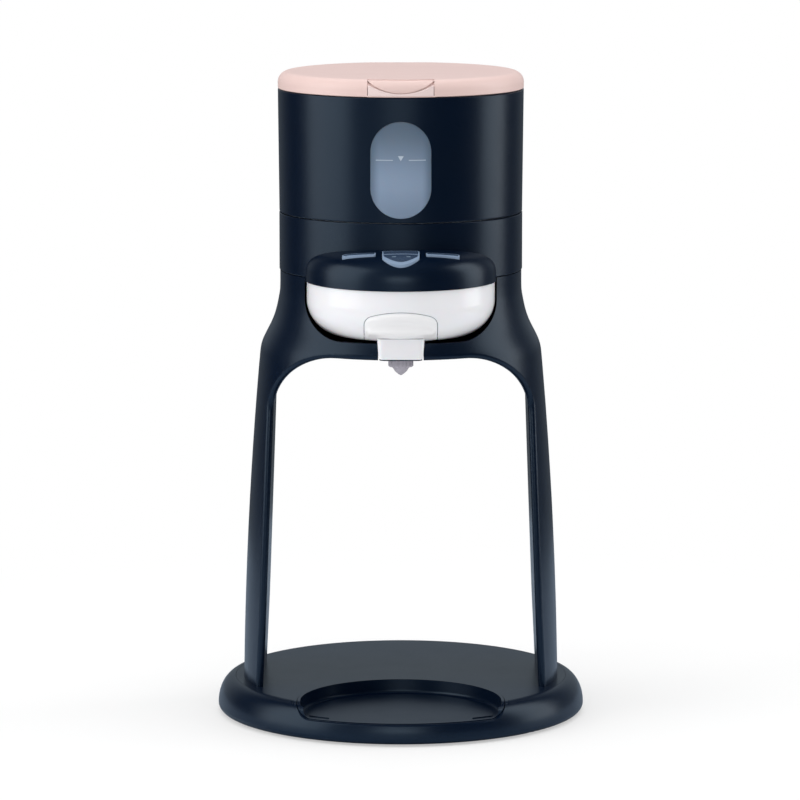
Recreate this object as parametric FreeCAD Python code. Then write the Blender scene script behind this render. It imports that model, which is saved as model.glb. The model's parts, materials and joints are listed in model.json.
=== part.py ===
import FreeCAD, Part
import math
import os

V = FreeCAD.Vector

# ---------------------------------------------------------------- driving sizes (millimetres)
# The machine stands on z = 0, its front faces -Y, and its middle plane is X = 0.

# base
base_radius = 105.0          # widest radius of the rounded rim
base_wide_z = 4.5            # height at which the rim is widest
rim_width = 10.0             # from the deck's edge out to the rim's widest radius
deck_z = 20.0                # top of the deck
deck_plate = 2.4
base_wall = 2.5
ledge_width = 4.5            # inward ledge that carries the deck
cover_inset = 6.3            # from the rim's widest radius in to the cover
cover_plate = 1.6
foot_proud = 1.0             # how far the rubber feet stand out below the cover
foot_radius = 7.0
foot_sunk = 0.8              # depth of each foot's pocket
foot_inset = 23.0
foot_angles = (25.0, 155.0, 205.0, 335.0)
deck_boss_inset = 15.0
deck_boss_angles = (-32.0, 42.0, 90.0, 138.0, 212.0)

# drip tray
tray_radius = 58.0           # rear half circle of the tray
tray_setback = 30.4          # from the base's widest radius to the centre of that half circle
tray_front_inset = 3.4       # from the base's widest radius to the tray's front edge
tray_corner = 6.0
tray_depth = 7.8             # from the deck down to the tray's floor
tray_floor = 1.8
tray_wall = 1.6
tray_pad_inset = 5.0         # raised middle of the tray's floor
tray_pad_rise = 0.5          # the front edge lies level with this middle
tray_proud = 0.3             # how far the tray's rim stands above the base
mouth_inset = 1.5            # the base is open in front of the tray, this much narrower than it
mouth_round = 6.0
mouth_edge_round = 1.2
tray_sill_half_width = 40.0  # the tray's middle reaches its front edge over this width
pan_wall = 2.0
pan_floor = 2.0

# stand: two blade legs under a round collar
bottle_height = 192.7        # from the deck to the underside of the arch
drawer_storey = 42.3         # from the underside of the arch to the collar's top
leg_setback = 4.8            # from the deck's edge to the legs' outer foot
leg_bow = 1.7                # how far the leg's outer line bows out between foot and shoulder
leg_foot_depth = 11.9        # thickness of a leg at the deck
knee_step = 2.0              # how much the arch narrows between the deck and the knee
knee_height = 40.0
shoulder_radius = 80.7
shoulder_drop = 10.7         # from the underside of the arch down to where the shoulder starts
shoulder_slope = -0.12       # the leg's lean where it runs into the shoulder
shoulder_bend = ((0.11, 0.22), (0.42, 0.40), (0.76, 0.60), (0.96, 0.83))   # shares of its drop
collar_height = 6.0
collar_step = 0.4            # how much slimmer than the housing the collar is
stand_wall = 3.0
arch_side = 10.2             # from the shoulder's radius in to the arch's upper corner
arch_corner = 36.0
knee_round = 54.0
arch_edge_round = 2.2
arch_skin = 2.6              # wall over the arch and on the legs' inner faces
leg_solid_height = 26.0      # solid foot block of each leg
leg_screw_y = 15.0
leg_screw_depth = 16.0
lug_height = 4.0

# housing
housing_over_bowl = 16.0     # how much wider than the bowl drawer the housing is
housing_wall = 2.5
housing_height = 32.9        # from the collar's top to the housing's top
housing_rim = 2.2            # from the housing's deck up to its top
housing_deck = 2.5
seam = 0.4                   # shadow gap between the collar and the housing
chassis_plate = 2.4
post_radius = 4.0
post_gap = 0.6               # between the drawer's rails and the screw posts
post_angles = (-5.7, 58.0)

# bowl drawer
bowl_radius = 53.0
bowl_height = 30.2
bowl_round = 20.0            # round between the bowl's side and its floor
bowl_wall = 2.4
bowl_gap = 0.8               # gap between the bowl and the edge of its opening
bowl_play = 0.3              # gap under the pod
wing_width = 1.5
wing_length = 66.0
wing_grip = 15.6             # length of the wings' wide rear ends, which run in the rails
wing_plate = 1.7
rail_foot = 1.8
rail_web = 0.9
rail_half_length = 26.0

# funnel, collar and nozzle
funnel_half_width = 20.2
funnel_height = 18.4         # height of its front tab
funnel_crown = 55.7          # radius of the tab's arched top
funnel_corner = 5.5
funnel_tab_wall = 6.5
tab_slit = 0.3               # gap between the tab and the bowl
funnel_back = 49.0           # from the bowl's front to the funnel's back edge
neck_half_width = 13.2
neck_taper = 1.0             # how much narrower each side is at the neck's foot
neck_foot_round = 1.7
neck_play = 0.35             # gap between the neck and its slot in the stand
neck_front = 10.2            # from the bowl's front to the neck's front
neck_back = 43.0
neck_corner = 3.5
neck_gap = 0.8               # the neck ends this far above the underside of the arch
cone_radius = 12.0
scoop_radius = 8.0
scoop_depth = 2.4
scoop_drop = 8.2             # from the tab's top down to the middle of the scoop
collar_sunk = 1.2            # the nozzle's collar is let into the neck this deep
collar_margin = 1.2          # from the neck's foot in to that pocket
collar_lip = 0.6             # lip of the collar below the neck
collar_lip_inset = 0.3
nozzle_inset = 31.0          # from the bowl's front to the nozzle's axis
nozzle_radius = 7.0
nozzle_flange_width = 2.0
nozzle_flange_plate = 1.4
nozzle_tube = 5.9            # how far the nozzle's tube reaches below the arch
nozzle_cone = 4.8            # height of the nozzle's cone
nozzle_step = 2.0            # how much slimmer than its tube the cone starts
nozzle_bore = 4.6
nozzle_ribs = 8

# control pod
pod_margin = 1.0             # how much wider than the bowl the pod is
bowl_reach = 20.0            # how far the bowl stands out in front of the housing
pod_drop = 2.0               # how far the pod reaches below the collar's top
pod_rise = 21.6              # height of the pod's dome above its lower edge
pod_curve_spans = 12         # the dome's curve passes through this many even steps
pod_fullness = 3.6           # exponent of the dome's curve: 2 is an ellipse, more is fuller
pod_wall = 2.5
pod_screw_angles = (-120.0, -60.0)
pod_screw_rise = 8.0
pod_screw_length = 9.0
board_rise = 6.6             # from the pod's lower edge up to the control board
board_plate = 1.2
board_half_width = 30.5
board_front = 15.0           # distances of the board's edges from the housing's wall
board_back = 1.2
board_margin = 6.0           # from the pod's radius in to the board's round edge
board_post_x = 20.0
switch_height = 3.4
switch_gap = 0.5
button_travel = 0.9
button_proud = 0.7
bar_inner_x = 13.9           # inner end of each side button
bar_length = 18.6
bar_width = 3.0
bar_forward = 8.5            # from the housing's wall to the middle of the side buttons
bar_round = 0.8
centre_half_width = 10.3
centre_back = 4.0            # distances of the middle button's outline from the housing's wall
centre_side = 12.4
centre_front = 18.2
centre_round = 1.2
centre_stem = 10.0

# tank
tank_step = 0.1              # how much slimmer than the housing the tank's lower edge is
tank_taper = 0.7             # how much wider the tank is at its top
tank_seam = 0.5
tank_height = 69.4
shell_wall = 2.2
liner_wall = 1.8
liner_floor = 2.2
liner_drop = 2.4             # the inner tank ends this far below the sleeve's top
liner_gap = 0.5              # gap between the housing's deck and the inner tank
window_width = 34.0
window_height = 54.0
window_rise = 2.4

# tank valve and its dock
valve_y = 30.0
valve_radius = 6.8
valve_wall = 1.6
valve_drop = 5.7             # how far the valve reaches below the tank
valve_travel = 3.0
valve_stem = 1.4
cage_height = 7.0
spring_radius = 3.2
spring_wire = 0.42           # half the wire's thickness
spring_turns = 3
spring_gap = 0.45
cup_depth = 14.0
cup_wall = 1.6
cup_play = 0.8

# lid
lid_height = 9.8
lid_round = 6.0
lid_wall = 2.3
lid_gap = 0.4
plug_play = 1.3
plug_wall = 2.0
plug_depth = 3.6
seal_width = 0.6
seal_height = 1.4
tab_half_width = 18.5
tab_depth = 6.0              # how far the rim is cut back behind the finger tab
tab_rise = 0.7               # ledge under the tab, above the lid's lower edge
tab_inset = 0.5              # the tab lies this far below the lid's surface
tab_skin = 0.9               # the tab's two layers: each has its own depth, rise above
tab_skin_rise = 2.1          # the lid's lower edge, and radius of its arched edge
tab_skin_bow = 28.8
tab_core = 1.3
tab_core_rise = 1.2
tab_core_bow = 41.7
hinge_inset = 4.0            # from the tank's top radius in to the hinge
hinge_rise = 4.0             # above the lid's lower edge
hinge_radius = 3.5
hinge_pin_radius = 1.5
hinge_half_width = 13.7
ear_width = 4.0

# fits
slip = 0.15                  # between fixed pieces
clear = 0.4                  # between moving pieces
running = 0.06               # pin in its bore
overlap = 0.5                # how far solids of one piece run into each other

# screws: shank radii
cover_screw = 1.2
cover_screw_depth = 11.0
leg_screw = 1.8
housing_screw = 1.6
housing_screw_depth = 14.0
pod_screw = 1.1
screw_play = 0.3             # clearance of a through hole

# parts inside the housing, placed from its radius
heater_inset = 33.0
heater_y = -5.0
heater_length = 50.0
heater_width = 36.0
heater_height = 16.0
heater_feet = 3.0
thermostat_offset = 11.0     # from the heater's middle
thermostat_radii = (7.0, 6.0)
thermostat_height = 3.6
thermostat_tab = 2.0         # height of the terminals
pump_inset = 35.0
pump_y = 8.0
pump_radius = 11.0
pump_length = 40.0
pump_feet = 1.5
meter_gap = 1.46             # the flow meter stands in line with the pump, this far from the wall
meter_radius = 11.0
meter_height = 12.0
spout_inset = 37.0           # from the bowl's front to the hot water outlet
spout_radius = 4.0
hose_radius = 3.0
hose_bore = 1.8
nipple_radius = 2.7
nipple_length = 4.0
gland_rise = 14.0            # above the collar's top
gland_bore = 3.5
gland_wall = 2.8
power_board_inset = 12.0
power_board_width = 12.0
power_board_half_length = 24.0
power_board_plate = 1.6
power_board_post_x = 20.0
power_board_margin = 2.5
relay = (14.0, 9.0, 9.0)     # length, width and height
terminal = (14.0, 6.0, 6.0)
relay_x = -15.0
terminal_x = 2.0
capacitor_x = 18.0
capacitor_radius = 4.0
capacitor_height = 9.0

# ---------------------------------------------------------------- sizes that follow from these
housing_radius = bowl_radius + housing_over_bowl
housing_inner = housing_radius - housing_wall
deck_radius = base_radius - rim_width
cover_radius = base_radius - cover_inset
tray_centre_y = -(base_radius - tray_setback)
tray_front_radius = base_radius - tray_front_inset
tray_floor_z = deck_z - tray_depth
tray_front_z = tray_floor_z + tray_pad_rise
mouth_half_width = tray_radius - mouth_inset
pan_floor_z = tray_floor_z - tray_floor - clear
pan_front_radius = tray_front_radius - base_wall
ledge_z = deck_z - deck_plate
lip_low_z = foot_proud + cover_plate
lip_high_z = base_wide_z - 0.3

arch_z = deck_z + bottle_height
stand_top_z = arch_z + drawer_storey
shoulder_z = arch_z - shoulder_drop
collar_low_z = stand_top_z - collar_height
collar_radius = housing_radius - collar_step
leg_foot_radius = deck_radius - leg_setback
leg_inner_foot = leg_foot_radius - leg_foot_depth
leg_inner_knee = leg_inner_foot - knee_step
knee_z = deck_z + knee_height
arch_half_width = shoulder_radius - arch_side
leg_screw_x = (leg_foot_radius + leg_inner_foot) / 2 - 0.4
lug_high_z = stand_top_z - 0.2
lug_z = lug_high_z - lug_height

housing_top_z = stand_top_z + housing_height
housing_deck_z = housing_top_z - housing_rim
deck_low_z = housing_deck_z - housing_deck
chassis_top_z = stand_top_z + chassis_plate

bowl_front_y = -(housing_radius + bowl_reach)
pod_y = bowl_front_y + bowl_radius
pod_radius = bowl_radius + pod_margin
pod_low_z = stand_top_z - pod_drop
pod_screw_z = pod_low_z + pod_screw_rise
board_z = pod_low_z + board_rise
switch_top_z = board_z + board_plate + switch_height
bar_circle = housing_radius + bar_forward
bar_middle_x = bar_inner_x + bar_length / 2
bar_middle_y = -math.sqrt(bar_circle ** 2 - bar_middle_x ** 2)
centre_stem_y = -(housing_radius + centre_stem)

bowl_top_z = pod_low_z - bowl_play
bowl_floor_z = bowl_top_z - bowl_height
wing_half_width = bowl_radius + wing_width
wing_back_y = pod_y + wing_length
rail_web_x = wing_half_width + clear + 0.2
rail_outer_x = rail_web_x + rail_web
post_circle = rail_outer_x + post_gap + post_radius
funnel_top_z = bowl_floor_z + funnel_height
funnel_back_y = bowl_front_y + funnel_back
neck_front_y = bowl_front_y + neck_front
neck_back_y = bowl_front_y + neck_back
neck_low_z = arch_z + neck_gap
neck_foot_half = neck_half_width - neck_taper
flange_z = neck_low_z + collar_sunk
nozzle_y = bowl_front_y + nozzle_inset
nozzle_flange = nozzle_radius + nozzle_flange_width
nozzle_step_z = arch_z - nozzle_tube
nozzle_tip_z = nozzle_step_z - nozzle_cone

tank_low_radius = housing_radius - tank_step
tank_top_radius = tank_low_radius + tank_taper
shell_inner = tank_low_radius - shell_wall
shell_low_z = housing_top_z + tank_seam
shell_top_z = shell_low_z + tank_height
liner_radius = shell_inner - slip
liner_inner = liner_radius - liner_wall
liner_low_z = housing_deck_z + liner_gap
liner_top_z = shell_top_z - liner_drop
window_low_z = shell_low_z + window_rise
window_top_z = window_low_z + window_height
cup_radius = valve_radius + clear + cup_play
cup_low_z = shell_low_z - cup_depth
dock_port_y = valve_y - cup_radius - cup_wall - nipple_length
dock_port_z = cup_low_z + 2.1 + nipple_radius
seat_z = liner_low_z + 0.4
plunger_low_z = shell_low_z - valve_drop + 2.0
plunger_disc_z = seat_z + 0.8 + valve_travel
plunger_plate = 1.3
plunger_radius = valve_radius - valve_wall - clear
cap_z = plunger_disc_z + cage_height
probe_top_z = plunger_low_z - 0.3

lid_low_z = shell_top_z + lid_gap
lid_top_z = shell_top_z + lid_height
plug_radius = shell_inner - liner_wall - plug_play
tab_back_radius = tank_top_radius - tab_depth
tab_step_z = lid_low_z + tab_rise
hinge_y = tank_top_radius - hinge_inset
hinge_z = lid_low_z + hinge_rise

heater_x = housing_radius - heater_inset
heater_low_z = chassis_top_z + heater_feet
heater_high_z = heater_low_z + heater_height
heater_port_z = (heater_low_z + heater_high_z) / 2
heater_in_y = heater_y + 14.0
heater_out_x = heater_x - 10.0
pump_x = -(housing_radius - pump_inset)
pump_z = chassis_top_z + pump_feet + pump_radius
pump_low_y = pump_y - pump_length / 2
pump_high_y = pump_y + pump_length / 2
meter_y = -math.sqrt((housing_inner - meter_radius - meter_gap) ** 2 - pump_x ** 2)
meter_low_z = pump_z - meter_height / 2
meter_reach = meter_radius + nipple_length
spout_y = bowl_front_y + spout_inset
spout_port_x = spout_radius + nipple_length
spout_port_z = chassis_top_z + 5.0
gland_z = stand_top_z + gland_rise
power_board_y = housing_radius - power_board_inset
power_board_z = chassis_top_z + 3.0


# ---------------------------------------------------------------- shape helpers
def rounded_wire(corners, place):
    """Closed wire through (u, v, radius) corners, laid out in space by place(u, v)."""
    count = len(corners)
    marks = []
    for i, (u, v, radius) in enumerate(corners):
        here = V(u, v, 0)
        back = V(*corners[i - 1][:2], 0) - here
        ahead = V(*corners[(i + 1) % count][:2], 0) - here
        half = back.getAngle(ahead) / 2
        back.normalize()
        ahead.normalize()
        reach = radius / math.tan(half) if radius else 0
        start = here + back * reach
        end = here + ahead * reach
        middle = here
        if radius:
            inward = back + ahead
            inward.normalize()
            middle = here + inward * (radius / math.sin(half) - radius)
        marks.append((start, middle, end, radius))
    edges = []
    for i, (start, middle, end, radius) in enumerate(marks):
        if radius:
            points = [place(p.x, p.y) for p in (start, middle, end)]
            edges.append(Part.Arc(*points).toShape())
        next_start = marks[(i + 1) % count][0]
        if (next_start - end).Length > 1e-6:
            edges.append(Part.makeLine(place(end.x, end.y), place(next_start.x, next_start.y)))
    return Part.Wire(edges)


def turned(corners, x=0.0, y=0.0):
    """Solid turned from (radius, height, corner radius) corners about a vertical axis."""
    face = Part.Face(rounded_wire(corners, lambda u, v: V(x + u, y, v)))
    return face.revolve(V(x, y, 0), V(0, 0, 1), 360)


def plan_block(corners, low_z, high_z):
    """Upright block with a plan outline of (x, y, corner radius)."""
    face = Part.Face(rounded_wire(corners, lambda u, v: V(u, v, low_z)))
    return face.extrude(V(0, 0, high_z - low_z))


def front_block(corners, low_y, high_y):
    """Block along Y with a front outline of (x, z, corner radius)."""
    face = Part.Face(rounded_wire(corners, lambda u, v: V(u, low_y, v)))
    return face.extrude(V(0, high_y - low_y, 0))


def disc(radius, low_z, high_z, x=0.0, y=0.0):
    return Part.makeCylinder(radius, high_z - low_z, V(x, y, low_z))


def ring(outer, inner, low_z, high_z, x=0.0, y=0.0):
    return disc(outer, low_z, high_z, x, y).cut(disc(inner, low_z - 1, high_z + 1, x, y))


def block(low_x, high_x, low_y, high_y, low_z, high_z):
    return Part.makeBox(high_x - low_x, high_y - low_y, high_z - low_z, V(low_x, low_y, low_z))


def rod_x(radius, low_x, high_x, y, z):
    return Part.makeCylinder(radius, high_x - low_x, V(low_x, y, z), V(1, 0, 0))


def rod_y(radius, low_y, high_y, x, z):
    return Part.makeCylinder(radius, high_y - low_y, V(x, low_y, z), V(0, 1, 0))


def joined(first, *others):
    """One clean solid from touching or overlapping pieces."""
    result = first
    for other in others:
        result = result.fuse(other)
    return result.removeSplitter()


def group(*solids):
    """Separate solids kept in one node."""
    return Part.makeCompound([s for shape in solids for s in shape.Solids])


def both_sides(shape):
    """The shape and its mirror image across the middle plane."""
    return [shape, shape.mirror(V(0, 0, 0), V(1, 0, 0))]


def ring_y(low_y, high_y, x, z):
    """Straight piece of hose along Y."""
    return rod_y(hose_radius, low_y, high_y, x, z).cut(rod_y(hose_bore, low_y - 1, high_y + 1, x, z))


def screw(x, y, low_z, length, shank=1.5):
    """Pan head screw that points up, its head's underside at low_z."""
    head = disc(2 * shank, low_z - 1.2 * shank, low_z, x, y)
    head = head.makeFillet(0.5 * shank, [head.Edges[2]])
    socket = block(x - 0.3 * shank, x + 0.3 * shank, y - shank, y + shank,
                   low_z - 1.2 * shank, low_z - 0.7 * shank)
    return joined(head.cut(socket), disc(shank, low_z, low_z + length, x, y))


def hose(points, bends):
    """Flexible pipe along straight runs joined by arcs of the given radii."""
    edges = []
    start = V(*points[0])
    for i in range(1, len(points) - 1):
        corner = V(*points[i])
        back = V(*points[i - 1]) - corner
        ahead = V(*points[i + 1]) - corner
        half = back.getAngle(ahead) / 2
        back.normalize()
        ahead.normalize()
        inward = back + ahead
        inward.normalize()
        reach = bends[i - 1] / math.tan(half)
        arc_start = corner + back * reach
        arc_end = corner + ahead * reach
        middle = corner + inward * (bends[i - 1] / math.sin(half) - bends[i - 1])
        edges.append(Part.makeLine(start, arc_start))
        edges.append(Part.Arc(arc_start, middle, arc_end).toShape())
        start = arc_end
    edges.append(Part.makeLine(start, V(*points[-1])))
    path = Part.Wire(edges)
    direction = V(*points[1]) - V(*points[0])
    shapes = []
    for radius in (hose_radius, hose_bore):
        circle = Part.Wire(Part.makeCircle(radius, V(*points[0]), direction))
        shapes.append(path.makePipeShell([circle], True, False))
    return shapes[0].cut(shapes[1])


# ---------------------------------------------------------------- base
def rim_body(radius, top_z, low_z, flat_radius=deck_radius):
    """Round body of the base: a quarter ellipse above its widest height, an arc below."""
    edge = base_wide_z - low_z
    ellipse = Part.Ellipse(V(flat_radius, 0, top_z), V(radius, 0, base_wide_z),
                           V(flat_radius, 0, base_wide_z))
    upper = Part.ArcOfEllipse(ellipse, 0, math.pi / 2).toShape()
    ends = sorted((v.Point for v in upper.Vertexes), key=lambda p: p.z)
    arc_low = V(radius - edge, 0, low_z)
    diagonal = edge * (1 - math.sqrt(0.5))
    lower = Part.Arc(arc_low, V(radius - diagonal, 0, low_z + diagonal), ends[0]).toShape()
    lines = [Part.makeLine(ends[1], V(0, 0, top_z)),
             Part.makeLine(V(0, 0, top_z), V(0, 0, low_z)),
             Part.makeLine(V(0, 0, low_z), arc_low)]
    wire = Part.Wire(Part.__sortEdges__([upper, lower] + lines))
    return Part.Face(wire).revolve(V(0, 0, 0), V(0, 0, 1), 360)


def tray_block(grow, low_z, high_z):
    """Upright block with the tray's plan outline, grown by a margin."""
    radius = tray_radius + grow
    front = tray_front_radius + grow
    shape = joined(disc(radius, low_z, high_z, 0, tray_centre_y),
                   block(-radius, radius, -front, tray_centre_y, low_z, high_z))
    shape = shape.common(disc(front, low_z, high_z))
    corner_y = -math.sqrt(front ** 2 - radius ** 2)
    corners = [e for e in shape.Edges
               if abs(e.BoundBox.XLength) < 1e-4 and abs(e.BoundBox.YLength) < 1e-4
               and abs(abs(e.CenterOfMass.x) - radius) < 1e-3
               and abs(e.CenterOfMass.y - corner_y) < 1e-3]
    return shape.makeFillet(max(tray_corner + grow, 1.0), corners)


def around(circle, angles):
    return [(circle * math.cos(math.radians(a)), circle * math.sin(math.radians(a)))
            for a in angles]


deck_bosses = around(base_radius - rim_width - deck_boss_inset, deck_boss_angles)
foot_places = around(base_radius - foot_inset, foot_angles)
leg_screw_places = [(sx * leg_screw_x, sy * leg_screw_y) for sx in (-1, 1) for sy in (-1, 1)]


def mouth_block(inset, low_z):
    """Trough along Y in front of the tray, with round lower corners."""
    half = mouth_half_width - inset
    round_ = mouth_round - inset
    corners = [(-half, low_z, round_), (half, low_z, round_), (half, deck_z + 1, 0), (-half, deck_z + 1, 0)]
    return front_block(corners, -base_radius - 1, tray_centre_y - tray_corner)


def tray_mouth():
    """Space in front of the tray, where the base ends at the tray's low front edge."""
    return mouth_block(0, tray_front_z - clear)


def on_rim(point):
    """Whether a point lies on the rounded outside of the base."""
    share = (point.z - base_wide_z) / (deck_z - base_wide_z)
    reach = deck_radius + rim_width * math.sqrt(max(0, 1 - share ** 2))
    return abs(math.hypot(point.x, point.y) - reach) < 0.02


def base_rim():
    shape = rim_body(base_radius, deck_z, foot_proud)
    shape = shape.cut(rim_body(base_radius - base_wall, ledge_z - deck_plate, lip_high_z))
    shape = shape.cut(disc(deck_radius, ledge_z, deck_z + 1))
    shape = shape.cut(disc(deck_radius - ledge_width, lip_high_z, deck_z))
    shape = shape.cut(disc(cover_radius + slip, 0, lip_low_z))
    shape = shape.cut(disc(cover_radius - ledge_width / 2, 0, lip_high_z + 1))
    pan_seat = tray_block(clear + pan_wall + slip, pan_floor_z - pan_floor - slip, deck_z + 1)
    shape = shape.cut(pan_seat.common(disc(pan_front_radius + slip, 0, deck_z + 1)))
    shape = shape.cut(tray_block(clear, pan_floor_z, deck_z + 1))
    shape = shape.cut(tray_mouth()).removeSplitter()
    lip = [e for e in shape.Edges
           if e.BoundBox.YMax < tray_centre_y - tray_corner
           and e.BoundBox.ZMin > tray_front_z - clear - 0.01
           and on_rim(e.valueAt((e.FirstParameter + e.LastParameter) / 2))]
    return shape.makeFillet(mouth_edge_round, lip)


def base_deck():
    """Round deck with the pan that the tray sits in, and bosses for the cover's screws."""
    plate = disc(deck_radius - slip, ledge_z, deck_z)
    pan = tray_block(clear + pan_wall, pan_floor_z - pan_floor, deck_z)
    pan = pan.common(disc(pan_front_radius, 0, deck_z + 1))
    pan = pan.common(rim_body(base_radius, deck_z, 0))
    shape = joined(plate, pan)
    for x, y in deck_bosses:
        shape = joined(shape, disc(post_radius, lip_low_z, ledge_z + overlap, x, y))
    shape = shape.cut(tray_block(clear, pan_floor_z, deck_z + 1))
    shape = shape.cut(tray_mouth())
    for x, y in deck_bosses:
        shape = shape.cut(disc(cover_screw, lip_low_z - 1, lip_low_z + cover_screw_depth, x, y))
    for x, y in leg_screw_places:
        shape = shape.cut(disc(leg_screw + screw_play, ledge_z - 1, deck_z + 1, x, y))
    return shape


def base_cover():
    shape = disc(cover_radius, foot_proud, lip_low_z)
    for x, y in deck_bosses:
        shape = shape.cut(disc(cover_screw + screw_play, 0, lip_low_z + 1, x, y))
    for x, y in foot_places:
        shape = shape.cut(disc(foot_radius + slip, 0, foot_proud + foot_sunk, x, y))
    return shape


def rubber_feet():
    feet = []
    for x, y in foot_places:
        feet.append(turned([(0, 0, 0), (foot_radius, 0, 0.5), (foot_radius, foot_proud + foot_sunk, 0),
                            (0, foot_proud + foot_sunk, 0)], x, y))
    return group(*feet)


def cover_screws():
    length = cover_plate + cover_screw_depth - 1.5
    return group(*[screw(x, y, foot_proud, length, cover_screw).cut(disc(9, -2, 0.2, x, y))
                   for x, y in deck_bosses])


def leg_screws():
    length = deck_plate + leg_screw_depth
    return group(*[screw(x, y, ledge_z, length, leg_screw) for x, y in leg_screw_places])


def drip_tray():
    """Shallow dish whose rim follows the rounded base, low at the front."""
    low_z = tray_floor_z - tray_floor
    shape = tray_block(0, low_z, deck_z + tray_proud)
    inside = tray_block(-tray_wall, tray_floor_z, deck_z + 1)
    floor_edges = [e for e in inside.Edges if abs(e.BoundBox.ZMax - tray_floor_z) < 1e-4]
    inside = inside.makeFillet(2.0, floor_edges)
    shape = shape.cut(inside)
    shape = shape.common(rim_body(base_radius + tray_proud, deck_z + tray_proud, 0))
    front = mouth_block(tray_wall + clear, tray_front_z)
    shape = shape.cut(front)
    pad = tray_block(-tray_wall - tray_pad_inset, tray_floor_z - tray_floor / 2, tray_front_z)
    sill = tray_block(-tray_wall / 2, tray_floor_z - tray_floor / 2, tray_front_z)
    sill = sill.common(block(-tray_sill_half_width, tray_sill_half_width, -base_radius,
                             tray_centre_y - tray_corner, 0, deck_z))
    return joined(shape, pad, sill)


# ---------------------------------------------------------------- stand
def stand_body(inset, low_z, high_z):
    """Round body of the stand, drawn in by inset: bowed legs, shoulder and collar."""
    foot = V(leg_foot_radius - inset, 0, deck_z)
    shoulder = V(shoulder_radius - inset, 0, shoulder_z)
    collar = V(collar_radius - inset, 0, collar_low_z)
    top = V(collar_radius - inset, 0, stand_top_z)
    leg = Part.Arc(foot, (foot + shoulder) / 2 + V(leg_bow, 0, 0), shoulder).toShape()
    drop = collar - shoulder
    curve = Part.BSplineCurve()
    curve.interpolate([shoulder] + [shoulder + V(drop.x * across, 0, drop.z * up)
                                    for across, up in shoulder_bend] + [collar],
                      InitialTangent=V(shoulder_slope, 0, 1), FinalTangent=V(0, 0, 1))
    lines = [Part.makeLine(collar, top), Part.makeLine(top, V(0, 0, stand_top_z)),
             Part.makeLine(V(0, 0, stand_top_z), V(0, 0, deck_z)), Part.makeLine(V(0, 0, deck_z), foot)]
    wire = Part.Wire(Part.__sortEdges__([leg, curve.toShape()] + lines))
    shape = Part.Face(wire).revolve(V(0, 0, 0), V(0, 0, 1), 360)
    if low_z > deck_z or high_z < stand_top_z:
        shape = shape.common(disc(2 * base_radius, low_z, high_z))
    return shape


def arch_block(grow):
    """Block along Y with the arch's outline, grown by the skin over it."""
    foot = leg_inner_foot + grow
    knee = leg_inner_knee + grow
    top = arch_half_width + grow
    reach = 2 * base_radius
    corners = [(-foot, deck_z - 1, 0), (foot, deck_z - 1, 0), (knee, knee_z, knee_round),
               (top, arch_z + grow, arch_corner + grow), (-top, arch_z + grow, arch_corner + grow),
               (-knee, knee_z, knee_round)]
    return front_block(corners, -reach, reach)


lug_places = [(sx * x, y) for x, y in around(post_circle, post_angles) for sx in (1, -1)]


def neck_outline(grow, foot_round, low_z):
    """Front outline of the funnel's neck, which narrows downward."""
    low = neck_foot_half + grow
    high = neck_half_width + grow
    top_z = bowl_floor_z + bowl_wall
    return [(-low, low_z, foot_round), (low, low_z, foot_round), (high, top_z, 0), (-high, top_z, 0)]


def drawer_way(margin):
    """The space that the bowl, the funnel and the nozzle sweep on their way out."""
    half = bowl_radius + margin
    low = bowl_floor_z - margin
    bowl = front_block([(-half, low, bowl_round + margin), (half, low, bowl_round + margin),
                        (half, stand_top_z + 1, 0), (-half, stand_top_z + 1, 0)],
                       -base_radius, pod_y)
    neck = front_block(neck_outline(neck_play, 0, arch_z - 1), -base_radius, neck_back_y + margin)
    return joined(bowl, neck)


def stand_frame():
    """Two hollow blade legs, the arch between them and the collar round the drawer."""
    shape = stand_body(0, deck_z, stand_top_z).cut(arch_block(0))
    outline = [e for e in shape.Edges
               if e.BoundBox.ZMin < arch_z + 1 and e.BoundBox.ZMax > deck_z + 5
               and e.BoundBox.YMax * e.BoundBox.YMin > 0 and e.Length > 5]
    shape = shape.makeFillet(arch_edge_round, outline)
    hollow = stand_body(stand_wall, deck_z + leg_solid_height, stand_top_z).cut(arch_block(arch_skin))
    shape = shape.cut(hollow)
    for x, y in lug_places:
        arm = block(0, collar_radius - post_circle - 1.0, -post_radius, post_radius, lug_z, lug_high_z)
        arm = arm.rotate(V(0, 0, 0), V(0, 0, 1), math.degrees(math.atan2(y, x)))
        lug = joined(disc(post_radius, lug_z, lug_high_z, x, y), arm.translate(V(x, y, 0)))
        shape = joined(shape, lug)
        shape = shape.cut(disc(housing_screw + screw_play, lug_z - 1, stand_top_z + 1, x, y))
    shape = shape.cut(drawer_way(bowl_gap))
    for x, y in leg_screw_places:
        shape = shape.cut(disc(leg_screw, deck_z - 1, deck_z + leg_screw_depth + 2.0, x, y))
    return shape


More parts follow.
